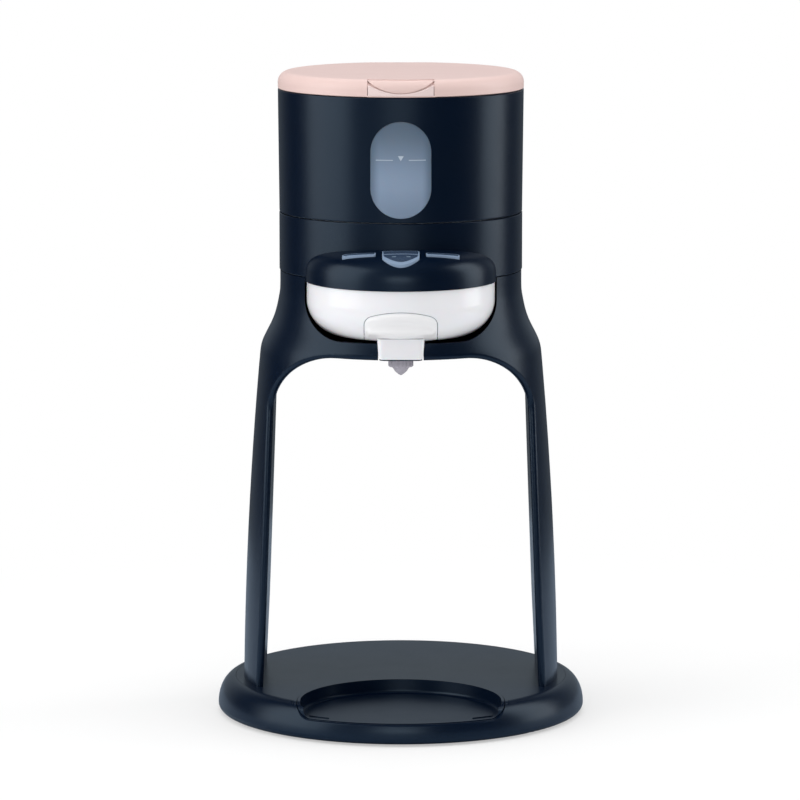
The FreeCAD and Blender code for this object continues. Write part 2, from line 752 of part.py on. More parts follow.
# ---------------------------------------------------------------- housing
def mid_housing():
    """Round wall, the deck that the tank stands over, and the posts for the screws."""
    inner = housing_inner
    shape = turned([(inner, stand_top_z + seam, 0), (housing_radius, stand_top_z + seam, 0.5),
                    (housing_radius, housing_top_z, 0.5), (inner, housing_top_z, 0.3)])
    shape = joined(shape, disc(inner + overlap, deck_low_z, housing_deck_z))
    for x, y in lug_places:
        shape = joined(shape, disc(post_radius, chassis_top_z, deck_low_z + overlap, x, y))
        shape = shape.cut(disc(housing_screw, chassis_top_z - 1, chassis_top_z + housing_screw_depth, x, y))
    shape = shape.cut(disc(cup_radius + cup_wall + slip, deck_low_z - 1, housing_deck_z + 1, 0, valve_y))
    # slot for the ribbon behind the pod, holes for the pod's screws and the mains gland
    ribbon_slot = block(-9, 9, -housing_radius - 2, -housing_inner + 5, board_z + board_plate, board_z + 5)
    shape = shape.cut(ribbon_slot)
    for angle in pod_screw_angles:
        shape = shape.cut(pod_screw_hole(pod_screw + screw_play, angle))
    gland_hole = rod_y(gland_bore + gland_wall + 0.2, housing_inner - 5, housing_radius + 2, 0, gland_z)
    return shape.cut(gland_hole)


def chassis():
    """Plate that closes the housing's underside and carries the pump and the heater."""
    shape = disc(housing_inner - slip, stand_top_z, chassis_top_z)
    for x, y in lug_places:
        shape = shape.cut(disc(housing_screw + screw_play, stand_top_z - 1, chassis_top_z + 1, x, y))
    return shape.cut(disc(spout_radius + slip, stand_top_z - 1, chassis_top_z + 1, 0, spout_y))


def housing_screws():
    length = chassis_top_z - lug_z + housing_screw_depth - 6.0
    return group(*[screw(x, y, lug_z, length, housing_screw) for x, y in lug_places])


# ---------------------------------------------------------------- control pod
def pod_body(inset):
    """Full, flat-topped dome about the pod's axis, drawn in by inset."""
    radius = pod_radius - inset
    rise = pod_rise - inset
    points = []
    for i in range(pod_curve_spans + 1):
        angle = math.pi / 2 * i / pod_curve_spans
        across = math.cos(angle)
        up = math.sin(angle)
        reach = (across ** pod_fullness + up ** pod_fullness) ** (-1 / pod_fullness)
        points.append(V(radius * reach * across, pod_y, pod_low_z + rise * reach * up))
    foot = points[0]
    top = V(0, pod_y, pod_low_z + rise)
    middle = V(0, pod_y, pod_low_z)
    curve = Part.BSplineCurve()
    curve.interpolate(points[:-1] + [top], InitialTangent=V(0, 0, 1), FinalTangent=V(-1, 0, 0))
    wire = Part.Wire([Part.makeLine(middle, foot), curve.toShape(), Part.makeLine(top, middle)])
    return Part.Face(wire).revolve(V(0, pod_y, 0), V(0, 0, 1), 360)


def outward(shape, angle):
    """The shape swung about the machine's axis."""
    return shape.rotate(V(0, 0, 0), V(0, 0, 1), angle)


def pod_screw_hole(radius, angle):
    """Rod that points outward through the housing's wall at the given angle."""
    return outward(rod_x(radius, housing_inner - 3.5, housing_radius + 7.5, 0, pod_screw_z), angle)


def upright_edges(shape):
    return [e for e in shape.Edges if e.BoundBox.XLength + e.BoundBox.YLength < 1e-3]


def bar_block(grow, low_z, high_z):
    """Side button's outline: a slim arc about the machine's axis, with soft corners."""
    half = bar_width / 2 + grow
    shape = ring(bar_circle + half, bar_circle - half, low_z, high_z)
    shape = shape.common(block(bar_inner_x - grow, bar_inner_x + bar_length + grow, -base_radius, 0,
                               low_z, high_z))
    return shape.makeFillet(bar_round + grow, upright_edges(shape))


def centre_outline(grow, low_z, high_z):
    """D-shaped plan of the middle button: straight at the back, bowed at the front."""
    half = centre_half_width + grow
    back = -(housing_radius + centre_back) + grow
    side = -(housing_radius + centre_side)
    front = -(housing_radius + centre_front) - grow
    points = [V(-half, back, low_z), V(-half, side, low_z), V(0, front, low_z),
              V(half, side, low_z), V(half, back, low_z)]
    edges = [Part.makeLine(points[0], points[1]), Part.Arc(*points[1:4]).toShape(),
             Part.makeLine(points[3], points[4]), Part.makeLine(points[4], points[0])]
    shape = Part.Face(Part.Wire(edges)).extrude(V(0, 0, high_z - low_z))
    return shape.makeFillet(centre_round + grow, upright_edges(shape))


def control_pod():
    """Puffed ledge over the bowl, hollow, open at the back against the housing."""
    wall_side = disc(housing_radius + slip, 0, lid_top_z)
    hollow = pod_body(pod_wall).common(disc(2 * pod_radius, pod_low_z + pod_wall, lid_top_z, 0, pod_y))
    shape = pod_body(0).cut(hollow).cut(wall_side)
    for x in (-board_post_x, board_post_x):
        shape = joined(shape, disc(2.6, pod_low_z + 1, board_z, x, -housing_radius - 6.0))
    for angle in pod_screw_angles:
        boss = outward(rod_x(3.2, housing_radius + slip, housing_radius + pod_radius, 0, pod_screw_z), angle)
        shape = joined(shape, boss.common(pod_body(overlap)).cut(wall_side))
        shape = shape.cut(pod_screw_hole(pod_screw, angle))
    opening_z = switch_top_z - button_travel - clear
    for bar in both_sides(bar_block(clear, opening_z, lid_top_z)):
        shape = shape.cut(bar)
    return shape.cut(centre_outline(clear, opening_z, lid_top_z))


def button(outline, stem_radius, x, y):
    """Button trimmed a little proud of the pod's dome, with a stem down to its switch."""
    cap = outline.common(pod_body(-button_proud)).cut(pod_body(pod_wall + 0.3))
    stem = disc(stem_radius, switch_top_z + switch_gap + button_travel, pod_low_z + pod_rise, x, y)
    return joined(cap, stem.common(pod_body(button_proud)))


def side_button():
    return button(bar_block(0, switch_top_z, lid_top_z), 1.3, bar_middle_x, bar_middle_y)


def centre_button():
    return button(centre_outline(0, switch_top_z, lid_top_z), 1.6, 0, centre_stem_y)


def control_board():
    shape = block(-board_half_width, board_half_width, -housing_radius - board_front,
                  -housing_radius - board_back, board_z, board_z + board_plate)
    shape = shape.common(disc(pod_radius - board_margin, 0, lid_top_z, 0, pod_y))
    return shape.cut(disc(housing_radius + 1.0, 0, lid_top_z))


def tact_switches():
    places = [(-bar_middle_x, bar_middle_y), (0, centre_stem_y), (bar_middle_x, bar_middle_y)]
    low = board_z + board_plate
    switches = []
    for x, y in places:
        body = block(x - 1.9, x + 1.9, y - 1.4, y + 1.4, low, switch_top_z - 1.0)
        switches.append(joined(body, disc(0.9, switch_top_z - 1.5, switch_top_z, x, y)))
    return group(*switches)


def pod_screws():
    screws = []
    for angle in pod_screw_angles:
        one = screw(0, 0, 0, pod_screw_length, pod_screw)
        one = one.rotate(V(0, 0, 0), V(0, 1, 0), 90)
        one = one.translate(V(housing_inner - slip, 0, pod_screw_z))
        screws.append(outward(one, angle))
    return group(*screws)


# ---------------------------------------------------------------- bowl drawer
def bowl_body(inset, top_z):
    round_ = bowl_round - inset
    return turned([(0, bowl_floor_z + inset, 0), (bowl_radius - inset, bowl_floor_z + inset, round_),
                   (bowl_radius - inset, top_z, 0), (0, top_z, 0)], 0, pod_y)


def tab_block(grow, low_z, high_y):
    """Block along Y with the arched outline of the funnel's front tab, grown by a gap."""
    half = funnel_half_width + grow
    top_z = funnel_top_z + grow
    shape = block(-half, half, -base_radius, high_y, low_z, top_z)
    crown = rod_y(funnel_crown + grow, -base_radius - 1, high_y + 1, 0, funnel_top_z - funnel_crown)
    shape = shape.common(crown)
    corners = [e for e in shape.Edges
               if abs(abs(e.CenterOfMass.x) - half) < 1e-3 and e.CenterOfMass.z > low_z + 1
               and e.BoundBox.ZLength < 1e-3]
    return shape.makeFillet(funnel_corner + grow, corners)


def drawer_bowl():
    """Round bowl with a brim at its back, whose wide rear ends run in the rails."""
    shape = bowl_body(0, bowl_top_z)
    wing_low_z = bowl_top_z - wing_plate
    brim = block(-bowl_radius, bowl_radius, pod_y, wing_back_y, wing_low_z, bowl_top_z)
    wings = block(-wing_half_width, wing_half_width, wing_back_y - wing_grip, wing_back_y,
                  wing_low_z, bowl_top_z)
    shape = joined(shape, brim, wings)
    shape = shape.cut(bowl_body(bowl_wall, bowl_top_z + 1))
    half = funnel_half_width + tab_slit
    back_y = funnel_back_y + slip
    seat = tab_block(tab_slit, bowl_floor_z - 1, bowl_front_y + bowl_round)
    floor = block(-half, half, -base_radius, back_y, bowl_floor_z - 1, bowl_floor_z + bowl_wall + 0.1)
    return shape.cut(seat).cut(floor)


def neck_block(half_width, margin, low_z, high_z):
    half = half_width - margin
    front = neck_front_y + margin
    back = neck_back_y - margin
    return plan_block([(-half, front, neck_corner), (half, front, neck_corner),
                       (half, back, neck_corner), (-half, back, neck_corner)], low_z, high_z)


def funnel():
    """Lift-out funnel: front tab with a finger scoop, flat floor, and the neck below."""
    floor_top_z = bowl_floor_z + bowl_wall
    front = bowl_body(0, bowl_top_z).common(
        tab_block(0, bowl_floor_z, bowl_front_y + bowl_round - 1.0))
    front = front.cut(bowl_body(funnel_tab_wall, bowl_top_z))
    floor = block(-funnel_half_width, funnel_half_width, bowl_front_y + 4.0, funnel_back_y,
                  bowl_floor_z, floor_top_z).common(bowl_body(0.3, bowl_top_z))
    neck = neck_block(neck_half_width, 0, neck_low_z, floor_top_z)
    neck = neck.common(front_block(neck_outline(0, neck_foot_round, neck_low_z), -base_radius, 0))
    shape = joined(front, floor, neck)
    cone_low_z = flange_z + 2.0
    cone_height = floor_top_z + 0.1 - cone_low_z
    cone = Part.makeCone(nozzle_bore, cone_radius, cone_height, V(0, nozzle_y, cone_low_z))
    seat_top_z = flange_z + nozzle_flange_plate + 0.2
    flange_seat = disc(nozzle_flange + slip, neck_low_z - 1, seat_top_z, 0, nozzle_y)
    collar_seat = neck_block(neck_foot_half, collar_margin, neck_low_z - 1, flange_z)
    shape = shape.cut(cone).cut(flange_seat).cut(collar_seat)
    shape = shape.cut(disc(nozzle_bore, neck_low_z - 1, flange_z + 3.0, 0, nozzle_y))
    # the finger scoop is cut square to the curved front
    scoop_z = funnel_top_z - scoop_drop
    lean = math.asin(max(0.0, bowl_floor_z + bowl_round - scoop_z) / bowl_round)
    standoff = scoop_radius - scoop_depth
    scoop_y = bowl_front_y + bowl_round * (1 - math.cos(lean)) - standoff * math.cos(lean)
    scoop = rod_x(scoop_radius, -funnel_half_width, funnel_half_width, scoop_y,
                  scoop_z - standoff * math.sin(lean))
    return shape.cut(scoop)


def nozzle_collar():
    """Plate let into the neck's foot, with a thin lip; it traps the nozzle's flange."""
    lip_top_z = neck_low_z - 0.1
    lip = neck_block(neck_foot_half, collar_lip_inset, lip_top_z - collar_lip, lip_top_z)
    plate = neck_block(neck_foot_half, collar_margin + slip, lip_top_z - collar_lip, flange_z - 0.1)
    hole = disc(nozzle_radius + slip, arch_z - 1, flange_z + 1, 0, nozzle_y)
    return joined(lip, plate).cut(hole)


def nozzle():
    """Soft nozzle: flange, short tube and a ribbed cone with a drip hole."""
    cone_top = nozzle_radius - nozzle_step
    shape = turned([(0, nozzle_tip_z, 0), (0.9, nozzle_tip_z, 0), (cone_top, nozzle_step_z, 0),
                    (nozzle_radius, nozzle_step_z, 1.0), (nozzle_radius, flange_z, 0),
                    (nozzle_flange, flange_z, 0.3),
                    (nozzle_flange, flange_z + nozzle_flange_plate, 0.3),
                    (0, flange_z + nozzle_flange_plate, 0)], 0, nozzle_y)
    inner = turned([(0, nozzle_tip_z + 1.2, 0), (0.5, nozzle_tip_z + 1.2, 0),
                    (nozzle_bore - 0.8, nozzle_step_z, 0), (nozzle_bore, nozzle_step_z + 1.6, 0),
                    (nozzle_bore, flange_z + 2, 0), (0, flange_z + 2, 0)], 0, nozzle_y)
    shape = shape.cut(inner).cut(disc(0.5, nozzle_tip_z - 1, nozzle_tip_z + 2, 0, nozzle_y))
    envelope = Part.makeCone(1.6, cone_top + 0.9, nozzle_cone, V(0, nozzle_y, nozzle_tip_z)).cut(inner)
    for i in range(nozzle_ribs):
        rib = block(-0.35, 0.35, 0, cone_top + 0.9, nozzle_tip_z + 1.0, nozzle_step_z + 0.1)
        rib = rib.rotate(V(0, 0, 0), V(0, 0, 1), 360 * i / nozzle_ribs).translate(V(0, nozzle_y, 0))
        shape = joined(shape, rib.common(envelope))
    return shape


def drawer_rails():
    """Pair of L rails under the chassis; the bowl's wings slide on their feet."""
    foot_top = bowl_top_z - wing_plate - clear
    foot_low = foot_top - rail_foot
    foot = block(bowl_radius + clear, rail_outer_x, -rail_half_length, rail_half_length, foot_low, foot_top)
    web = block(rail_web_x, rail_outer_x, -rail_half_length, rail_half_length, foot_low, stand_top_z)
    return group(*both_sides(joined(foot, web)))


# ---------------------------------------------------------------- water path
def dock_cup():
    """Socket under the housing's deck that takes the tank's valve."""
    outer = cup_radius + cup_wall
    shape = joined(disc(outer, cup_low_z, housing_deck_z, 0, valve_y),
                   disc(outer + 2.5, deck_low_z - 1.6, deck_low_z, 0, valve_y))
    shape = shape.cut(disc(cup_radius, cup_low_z + 2.0, housing_deck_z + 1, 0, valve_y))
    nipple = rod_y(nipple_radius, dock_port_y, valve_y - outer + overlap, 0, dock_port_z)
    shape = joined(shape, nipple)
    shape = shape.cut(rod_y(hose_bore, dock_port_y - 1, valve_y - cup_radius + 1, 0, dock_port_z))
    probe = disc(1.1, cup_low_z + 1.0, probe_top_z, 0, valve_y)
    return joined(shape, probe)


def dock_seal():
    low = housing_deck_z - 2.6
    return ring(cup_radius - 0.05, valve_radius + clear - 0.1, low, low + 1.6, 0, valve_y)


def flow_meter():
    body = disc(meter_radius, meter_low_z, meter_low_z + meter_height, pump_x, meter_y)
    body = body.makeFillet(1.0, [body.Edges[0], body.Edges[2]])
    inlet = rod_x(nipple_radius, pump_x, pump_x + meter_reach, meter_y, pump_z)
    outlet = rod_y(nipple_radius, meter_y, meter_y + meter_reach, pump_x, pump_z)
    feet = [disc(2.5, chassis_top_z, meter_low_z + overlap, pump_x + dx, meter_y + dy)
            for dx, dy in ((-6, -6), (6, -6), (-6, 6), (6, 6))]
    return joined(body, inlet, outlet, *feet)


def pump():
    body = rod_y(pump_radius, pump_low_y + 6, pump_high_y, pump_x, pump_z)
    head = rod_y(pump_radius - 2.0, pump_low_y, pump_low_y + 6, pump_x, pump_z)
    return joined(body, head, rod_y(nipple_radius, pump_low_y - nipple_length, pump_low_y, pump_x, pump_z),
                  rod_y(nipple_radius, pump_high_y, pump_high_y + nipple_length, pump_x, pump_z))


def pump_mounts():
    """Rubber saddles that keep the pump off the chassis."""
    saddles = []
    for y in (pump_low_y + 10.0, pump_high_y - 8.0):
        saddle = block(pump_x - 9.0, pump_x + 9.0, y - 2.5, y + 2.5, chassis_top_z, chassis_top_z + 7.0)
        saddles.append(saddle.cut(rod_y(pump_radius, y - 5, y + 5, pump_x, pump_z)))
    return group(*saddles)


def heater_block():
    low_x, high_x = heater_x - heater_width / 2, heater_x + heater_width / 2
    low_y, high_y = heater_y - heater_length / 2, heater_y + heater_length / 2
    body = plan_block([(low_x, low_y, 5), (high_x, low_y, 5), (high_x, high_y, 5), (low_x, high_y, 5)],
                      heater_low_z, heater_high_z)
    feet = [disc(3.0, chassis_top_z, heater_low_z + overlap, x, y)
            for x in (low_x + 5, high_x - 5) for y in (low_y + 5, high_y - 5)]
    inlet = rod_x(nipple_radius, low_x - nipple_length, low_x, heater_in_y, heater_port_z)
    outlet = rod_y(nipple_radius, low_y - nipple_length, low_y, heater_out_x, heater_port_z)
    return joined(body, *feet, inlet, outlet)


def thermostats():
    """Control thermostat and thermal cut-out on top of the heater."""
    top = heater_high_z + thermostat_height
    parts = []
    for side, radius in zip((-1, 1), thermostat_radii):
        y = heater_y + side * thermostat_offset
        can = disc(radius, heater_high_z, top, heater_x, y)
        tabs = [block(x - 1.4, x + 1.4, y - 0.4, y + 0.4, top, top + thermostat_tab)
                for x in (heater_x - radius / 2, heater_x + radius / 2)]
        parts.append(joined(can, *tabs))
    return group(*parts)


def water_spout():
    """Outlet pushed through the chassis above the funnel, fed from the side."""
    shape = joined(disc(spout_radius, stand_top_z - 1.2, chassis_top_z + 7.0, 0, spout_y),
                   disc(spout_radius + 3.0, chassis_top_z, chassis_top_z + 1.6, 0, spout_y))
    side = rod_x(nipple_radius, 0, spout_port_x, spout_y, spout_port_z)
    shape = joined(shape, side)
    return shape.cut(disc(hose_bore, stand_top_z - 3, chassis_top_z + 6.0, 0, spout_y))


def hose_dock_to_meter():
    end_x = pump_x + meter_reach
    return hose([(0, dock_port_y, dock_port_z), (0, dock_port_y - 17.0, dock_port_z),
                 (0, meter_y, pump_z), (end_x, meter_y, pump_z)], [20.0, 9.0])


def hose_meter_to_pump():
    return ring_y(meter_y + meter_reach, pump_low_y - nipple_length, pump_x, pump_z)


def hose_pump_to_heater():
    start_y = pump_high_y + nipple_length
    end_x = heater_x - heater_width / 2 - nipple_length
    return hose([(pump_x, start_y, pump_z), (pump_x, start_y + 8.0, pump_z),
                 (-8.0, start_y + 3.0, pump_z), (0, heater_in_y, heater_port_z),
                 (end_x, heater_in_y, heater_port_z)], [5.0, 12.0, 6.0])


def hose_heater_to_spout():
    start_y = heater_y - heater_length / 2 - nipple_length
    return hose([(heater_out_x, start_y, heater_port_z), (heater_out_x, start_y - 5.0, heater_port_z),
                 (heater_out_x, spout_y, spout_port_z), (spout_port_x, spout_y, spout_port_z)], [6.0, 7.0])


# ---------------------------------------------------------------- electrics
def power_board():
    """Circuit board on four posts at the back of the chassis."""
    front_y = power_board_y - power_board_width
    plate = block(-power_board_half_length, power_board_half_length, front_y, power_board_y,
                  power_board_z, power_board_z + power_board_plate)
    posts = [disc(2.2, chassis_top_z, power_board_z + overlap, x, y)
             for x in (-power_board_post_x, power_board_post_x)
             for y in (front_y + power_board_margin, power_board_y - power_board_margin)]
    return joined(plate, *posts)


def board_box(size, middle_x):
    """Component box of the given length, width and height on the power board."""
    length, width, height = size
    low = power_board_z + power_board_plate
    middle_y = power_board_y - power_board_width / 2
    return block(middle_x - length / 2, middle_x + length / 2, middle_y - width / 2, middle_y + width / 2,
                 low, low + height)


def board_parts():
    """Relay, capacitor and terminal block on the power board."""
    low = power_board_z + power_board_plate
    capacitor = disc(capacitor_radius, low, low + capacitor_height, capacitor_x,
                     power_board_y - power_board_width / 2)
    return group(board_box(relay, relay_x), capacitor, board_box(terminal, terminal_x))


def ribbon():
    """Flat cable from the control board through the housing to the chassis."""
    low = board_z + board_plate + 0.8
    return block(-6, 6, -housing_radius - 5.6, -housing_radius + 6.0, low, low + 0.8)


def mains_gland():
    """Bush in the housing's back wall that takes the mains lead."""
    inner_y = housing_inner - 4.0
    outer_y = housing_radius + 3.0
    shape = joined(rod_y(gland_bore + gland_wall, inner_y, outer_y - 2.0, 0, gland_z),
                   rod_y(gland_bore + gland_wall + 1.8, housing_radius, outer_y, 0, gland_z),
                   rod_y(gland_bore + gland_wall + 1.4, inner_y, inner_y + 1.5, 0, gland_z))
    return shape.cut(rod_y(gland_bore, inner_y - 1, outer_y + 1, 0, gland_z))


# ---------------------------------------------------------------- tank
def window_block(grow, low_y, high_y):
    half = window_width / 2 + grow
    round_ = half - 0.01
    return front_block([(-half, window_low_z - grow, round_), (half, window_low_z - grow, round_),
                        (half, window_top_z + grow, round_), (-half, window_top_z + grow, round_)],
                       low_y, high_y)


def tank_shell():
    """Opaque outer sleeve of the tank with the window's slot and the hinge ears."""
    inner = shell_inner
    shape = turned([(inner, shell_low_z, 0), (tank_low_radius, shell_low_z, 0.6),
                    (tank_top_radius, shell_top_z, 0.6), (inner, shell_top_z, 0.3)])
    shape = shape.cut(window_block(0, -tank_top_radius - 2, -inner / 2))
    ear_x = hinge_half_width + clear
    wall_y = math.sqrt(inner ** 2 - (ear_x + ear_width) ** 2) + overlap + 0.1
    ear = joined(rod_x(hinge_radius, ear_x, ear_x + ear_width, hinge_y, hinge_z),
                 block(ear_x, ear_x + ear_width, wall_y, hinge_y + hinge_radius - 0.8,
                       shell_top_z - 6.0, hinge_z))
    for one in both_sides(ear):
        shape = joined(shape, one)
    shape = shape.cut(disc(inner, shell_low_z - 1, shell_top_z))
    return shape.cut(rod_x(hinge_pin_radius, -inner / 2, inner / 2, hinge_y, hinge_z))


def level_window():
    """Clear insert of the sleeve, just below its outer face."""
    shape = window_block(-slip, -tank_top_radius - 2, -tank_top_radius / 2)
    return shape.common(ring(tank_low_radius + slip, shell_inner + 0.02,
                             window_low_z - 1, window_top_z + 1))


def water_tank():
    """Clear inner tank; its foot sits inside the housing's rim."""
    foot = housing_inner - clear
    shape = turned([(0, liner_low_z, 0), (foot, liner_low_z, 1.5), (foot, shell_low_z - 0.2, 0),
                    (liner_radius, shell_low_z + 0.4, 0), (liner_radius, liner_top_z, 0.4),
                    (liner_inner, liner_top_z, 0.4), (liner_inner, liner_low_z + liner_floor, 4.0),
                    (0, liner_low_z + liner_floor, 0)])
    return shape.cut(disc(valve_radius + slip, liner_low_z - 1, liner_low_z + 5, 0, valve_y))


def valve_body():
    """Threaded-in valve seat that drops into the dock, with a slotted cage above."""
    low = shell_low_z - valve_drop
    floor_top = liner_low_z + liner_floor
    shape = joined(disc(valve_radius, low, floor_top + overlap, 0, valve_y),
                   disc(valve_radius + 3.0, floor_top, floor_top + 1.6, 0, valve_y),
                   disc(valve_radius, floor_top, cap_z + 1.2, 0, valve_y))
    bore = valve_radius - valve_wall
    shape = shape.cut(disc(bore, low - 1, seat_z - 0.8, 0, valve_y))
    shape = shape.cut(disc(bore, seat_z, cap_z, 0, valve_y))
    shape = shape.cut(disc(valve_stem + 1.2, low, cap_z, 0, valve_y))
    for angle in (0, 90):
        slot = block(-12, 12, -1.6, 1.6, floor_top + 2.4, cap_z - 1.0)
        shape = shape.cut(slot.rotate(V(0, 0, 0), V(0, 0, 1), angle).translate(V(0, valve_y, 0)))
    return shape


def valve_plunger():
    disc_top_z = plunger_disc_z + plunger_plate
    return joined(disc(valve_stem, plunger_low_z, plunger_disc_z + overlap, 0, valve_y),
                  disc(plunger_radius, plunger_disc_z, disc_top_z, 0, valve_y),
                  disc(1.0, disc_top_z - overlap, disc_top_z + 1.1, 0, valve_y))


def valve_seal():
    return ring(plunger_radius - 0.2, valve_stem, plunger_disc_z - 0.8, plunger_disc_z, 0, valve_y)


def valve_spring():
    """Light spring between the plunger's disc and the top of the cage, its wire eight-sided."""
    low = plunger_disc_z + plunger_plate + spring_gap
    high = cap_z - spring_gap
    helix = Part.makeHelix((high - low) / spring_turns, high - low, spring_radius)
    helix.translate(V(0, valve_y, low))
    angles = [2 * math.pi * i / 8 for i in range(9)]
    corners = [V(spring_radius + spring_wire * math.cos(a), valve_y, low + spring_wire * math.sin(a))
               for a in angles]
    return Part.Wire(helix).makePipeShell([Part.makePolygon(corners)], True, True)


# ---------------------------------------------------------------- lid
def lid_skin(inset):
    """Outer body of the lid, drawn in by inset."""
    radius = tank_top_radius - inset
    top_z = lid_top_z - inset
    return turned([(0, lid_low_z, 0), (radius, lid_low_z, 0), (radius, top_z, lid_round - inset),
                   (0, top_z, 0)])


def tongue(inset, plate, rise, bow):
    """Layer of the finger tab: it runs over the lid's rim and ends in a hanging arch."""
    layer = lid_skin(inset).cut(lid_skin(inset + plate))
    return layer.common(rod_y(bow, -base_radius, 0, 0, lid_low_z + rise + bow))


def lid():
    """Flat round lid with a plug ring, a finger tab in front and a hinge knuckle behind."""
    inner_z = lid_top_z - lid_wall
    shape = turned([(0, inner_z, 0), (0, lid_top_z, 0), (tank_top_radius, lid_top_z, lid_round),
                    (tank_top_radius, lid_low_z, 0.5), (tank_top_radius - lid_wall, lid_low_z, 0.3),
                    (tank_top_radius - lid_wall, inner_z, lid_round - lid_wall)])
    plug_inner = plug_radius - plug_wall
    plug = ring(plug_radius, plug_inner, lid_low_z - plug_depth, inner_z + overlap)
    shape = joined(shape, plug)
    # the finger tab: the rim is cut back between two walls, and a tongue in two layers hangs
    # from the top over a low ledge
    half = tab_half_width
    cut_back = ring(tank_top_radius + 1, tab_back_radius, tab_step_z, lid_top_z + 1)
    shape = shape.cut(cut_back.common(block(-half, half, -base_radius, 0, 0, lid_top_z + 1)))
    strip_back_y = overlap - math.sqrt(tab_back_radius ** 2 - half ** 2)
    strip = block(-half - overlap, half + overlap, -tank_top_radius, strip_back_y, lid_low_z, lid_top_z)
    ledge = ring(tank_top_radius, plug_inner, lid_low_z, tab_step_z).common(strip)
    skin = tongue(tab_inset, tab_core, tab_skin_rise, tab_skin_bow)
    core = tongue(tab_inset + tab_skin, tab_core, tab_core_rise, tab_core_bow)
    shape = joined(shape, ledge, skin.common(strip), core.common(strip))
    # the hinge: a notch clear of the ears, and the knuckle between them
    notch_half = hinge_half_width + clear + ear_width + clear
    notch = block(-notch_half, notch_half, hinge_y - hinge_radius - 2 * clear, tank_top_radius + 1,
                  lid_low_z - plug_depth - 1, lid_top_z + 1)
    shape = shape.cut(notch)
    knuckle = joined(rod_x(hinge_radius, -hinge_half_width, hinge_half_width, hinge_y, hinge_z),
                     block(-hinge_half_width, hinge_half_width, hinge_y - hinge_radius - 3.0, hinge_y,
                           hinge_z, hinge_z + hinge_radius))
    shape = joined(shape, knuckle)
    return shape.cut(rod_x(hinge_pin_radius + running, -notch_half, notch_half, hinge_y, hinge_z))


def lid_hinge_pin():
    half = hinge_half_width + clear + ear_width
    return rod_x(hinge_pin_radius, -half, half, hinge_y, hinge_z)


def lid_seal():
    low = lid_low_z - plug_depth + 1.0
    return ring(plug_radius + seal_width, plug_radius, low, low + seal_height)


# ---------------------------------------------------------------- write the parts
def mirrored(shape):
    return shape.mirror(V(0, 0, 0), V(1, 0, 0))


PARTS = {
    "base_rim": base_rim, "base_deck": base_deck, "base_cover": base_cover, "rubber_feet": rubber_feet,
    "cover_screws": cover_screws, "leg_screws": leg_screws, "drip_tray": drip_tray,
    "stand_frame": stand_frame, "mid_housing": mid_housing, "chassis": chassis,
    "housing_screws": housing_screws, "control_pod": control_pod,
    "button_right": side_button, "button_left": lambda: mirrored(side_button()),
    "button_centre": centre_button, "control_board": control_board, "tact_switches": tact_switches,
    "pod_screws": pod_screws, "ribbon_cable": ribbon,
    "drawer_bowl": drawer_bowl, "funnel": funnel, "nozzle_collar": nozzle_collar, "nozzle": nozzle,
    "drawer_rails": drawer_rails, "dock_cup": dock_cup, "dock_seal": dock_seal,
    "flow_meter": flow_meter, "pump": pump, "pump_mounts": pump_mounts, "heater_block": heater_block,
    "thermostats": thermostats, "water_spout": water_spout,
    "hose_dock_to_meter": hose_dock_to_meter, "hose_meter_to_pump": hose_meter_to_pump,
    "hose_pump_to_heater": hose_pump_to_heater, "hose_heater_to_spout": hose_heater_to_spout,
    "power_board": power_board, "board_parts": board_parts, "mains_gland": mains_gland,
    "tank_shell": tank_shell, "level_window": level_window, "water_tank": water_tank,
    "valve_body": valve_body, "valve_plunger": valve_plunger, "valve_seal": valve_seal,
    "valve_spring": valve_spring, "lid": lid, "lid_hinge_pin": lid_hinge_pin, "lid_seal": lid_seal,
}

os.makedirs("parts", exist_ok=True)
for name, build in PARTS.items():
    shape = build()
    shape.exportStep("parts/" + name + ".step")
    print(f"{name:22s} solids {len(shape.Solids)} valid {shape.isValid()} volume {shape.Volume:.1f}")
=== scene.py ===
import json
import math

import bmesh
import bpy
from bpy.props import FloatProperty, FloatVectorProperty, IntProperty, PointerProperty
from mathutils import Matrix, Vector


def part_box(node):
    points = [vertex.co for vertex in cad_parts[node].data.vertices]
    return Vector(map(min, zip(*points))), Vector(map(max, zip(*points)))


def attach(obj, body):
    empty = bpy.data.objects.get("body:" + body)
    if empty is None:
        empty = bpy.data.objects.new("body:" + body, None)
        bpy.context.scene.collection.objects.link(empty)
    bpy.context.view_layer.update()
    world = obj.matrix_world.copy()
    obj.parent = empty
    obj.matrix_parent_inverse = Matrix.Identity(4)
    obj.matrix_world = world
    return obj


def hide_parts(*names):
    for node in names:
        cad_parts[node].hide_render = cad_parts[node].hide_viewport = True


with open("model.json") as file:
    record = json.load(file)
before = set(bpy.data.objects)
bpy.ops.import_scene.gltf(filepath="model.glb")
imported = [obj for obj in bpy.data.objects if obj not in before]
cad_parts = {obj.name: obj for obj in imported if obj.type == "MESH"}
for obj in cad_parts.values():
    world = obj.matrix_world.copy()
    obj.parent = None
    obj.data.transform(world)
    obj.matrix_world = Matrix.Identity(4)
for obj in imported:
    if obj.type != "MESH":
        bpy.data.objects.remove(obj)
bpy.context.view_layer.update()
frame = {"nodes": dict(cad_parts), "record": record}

bl_info = {
    "name": "Baby formula maker",
    "version": (1, 0, 0),
    "blender": (4, 5, 0),
    "location": "3D View > Sidebar > Formula maker",
    "description": "Finishes, trim and studio for the formula maker's frame",
    "category": "Object",
}

DOWN = Vector((0, 0, -1))
BACKWARDS = Vector((0, 1, 0))


# ---------------------------------------------------------------- sizes and colours
def colour(name, description, default):
    return FloatVectorProperty(name=name, description=description, default=default, subtype="COLOR",
                               min=0.0, max=1.0)


def length(name, description, default):
    return FloatProperty(name=name, description=description, default=default, unit="LENGTH",
                         subtype="DISTANCE", precision=5)


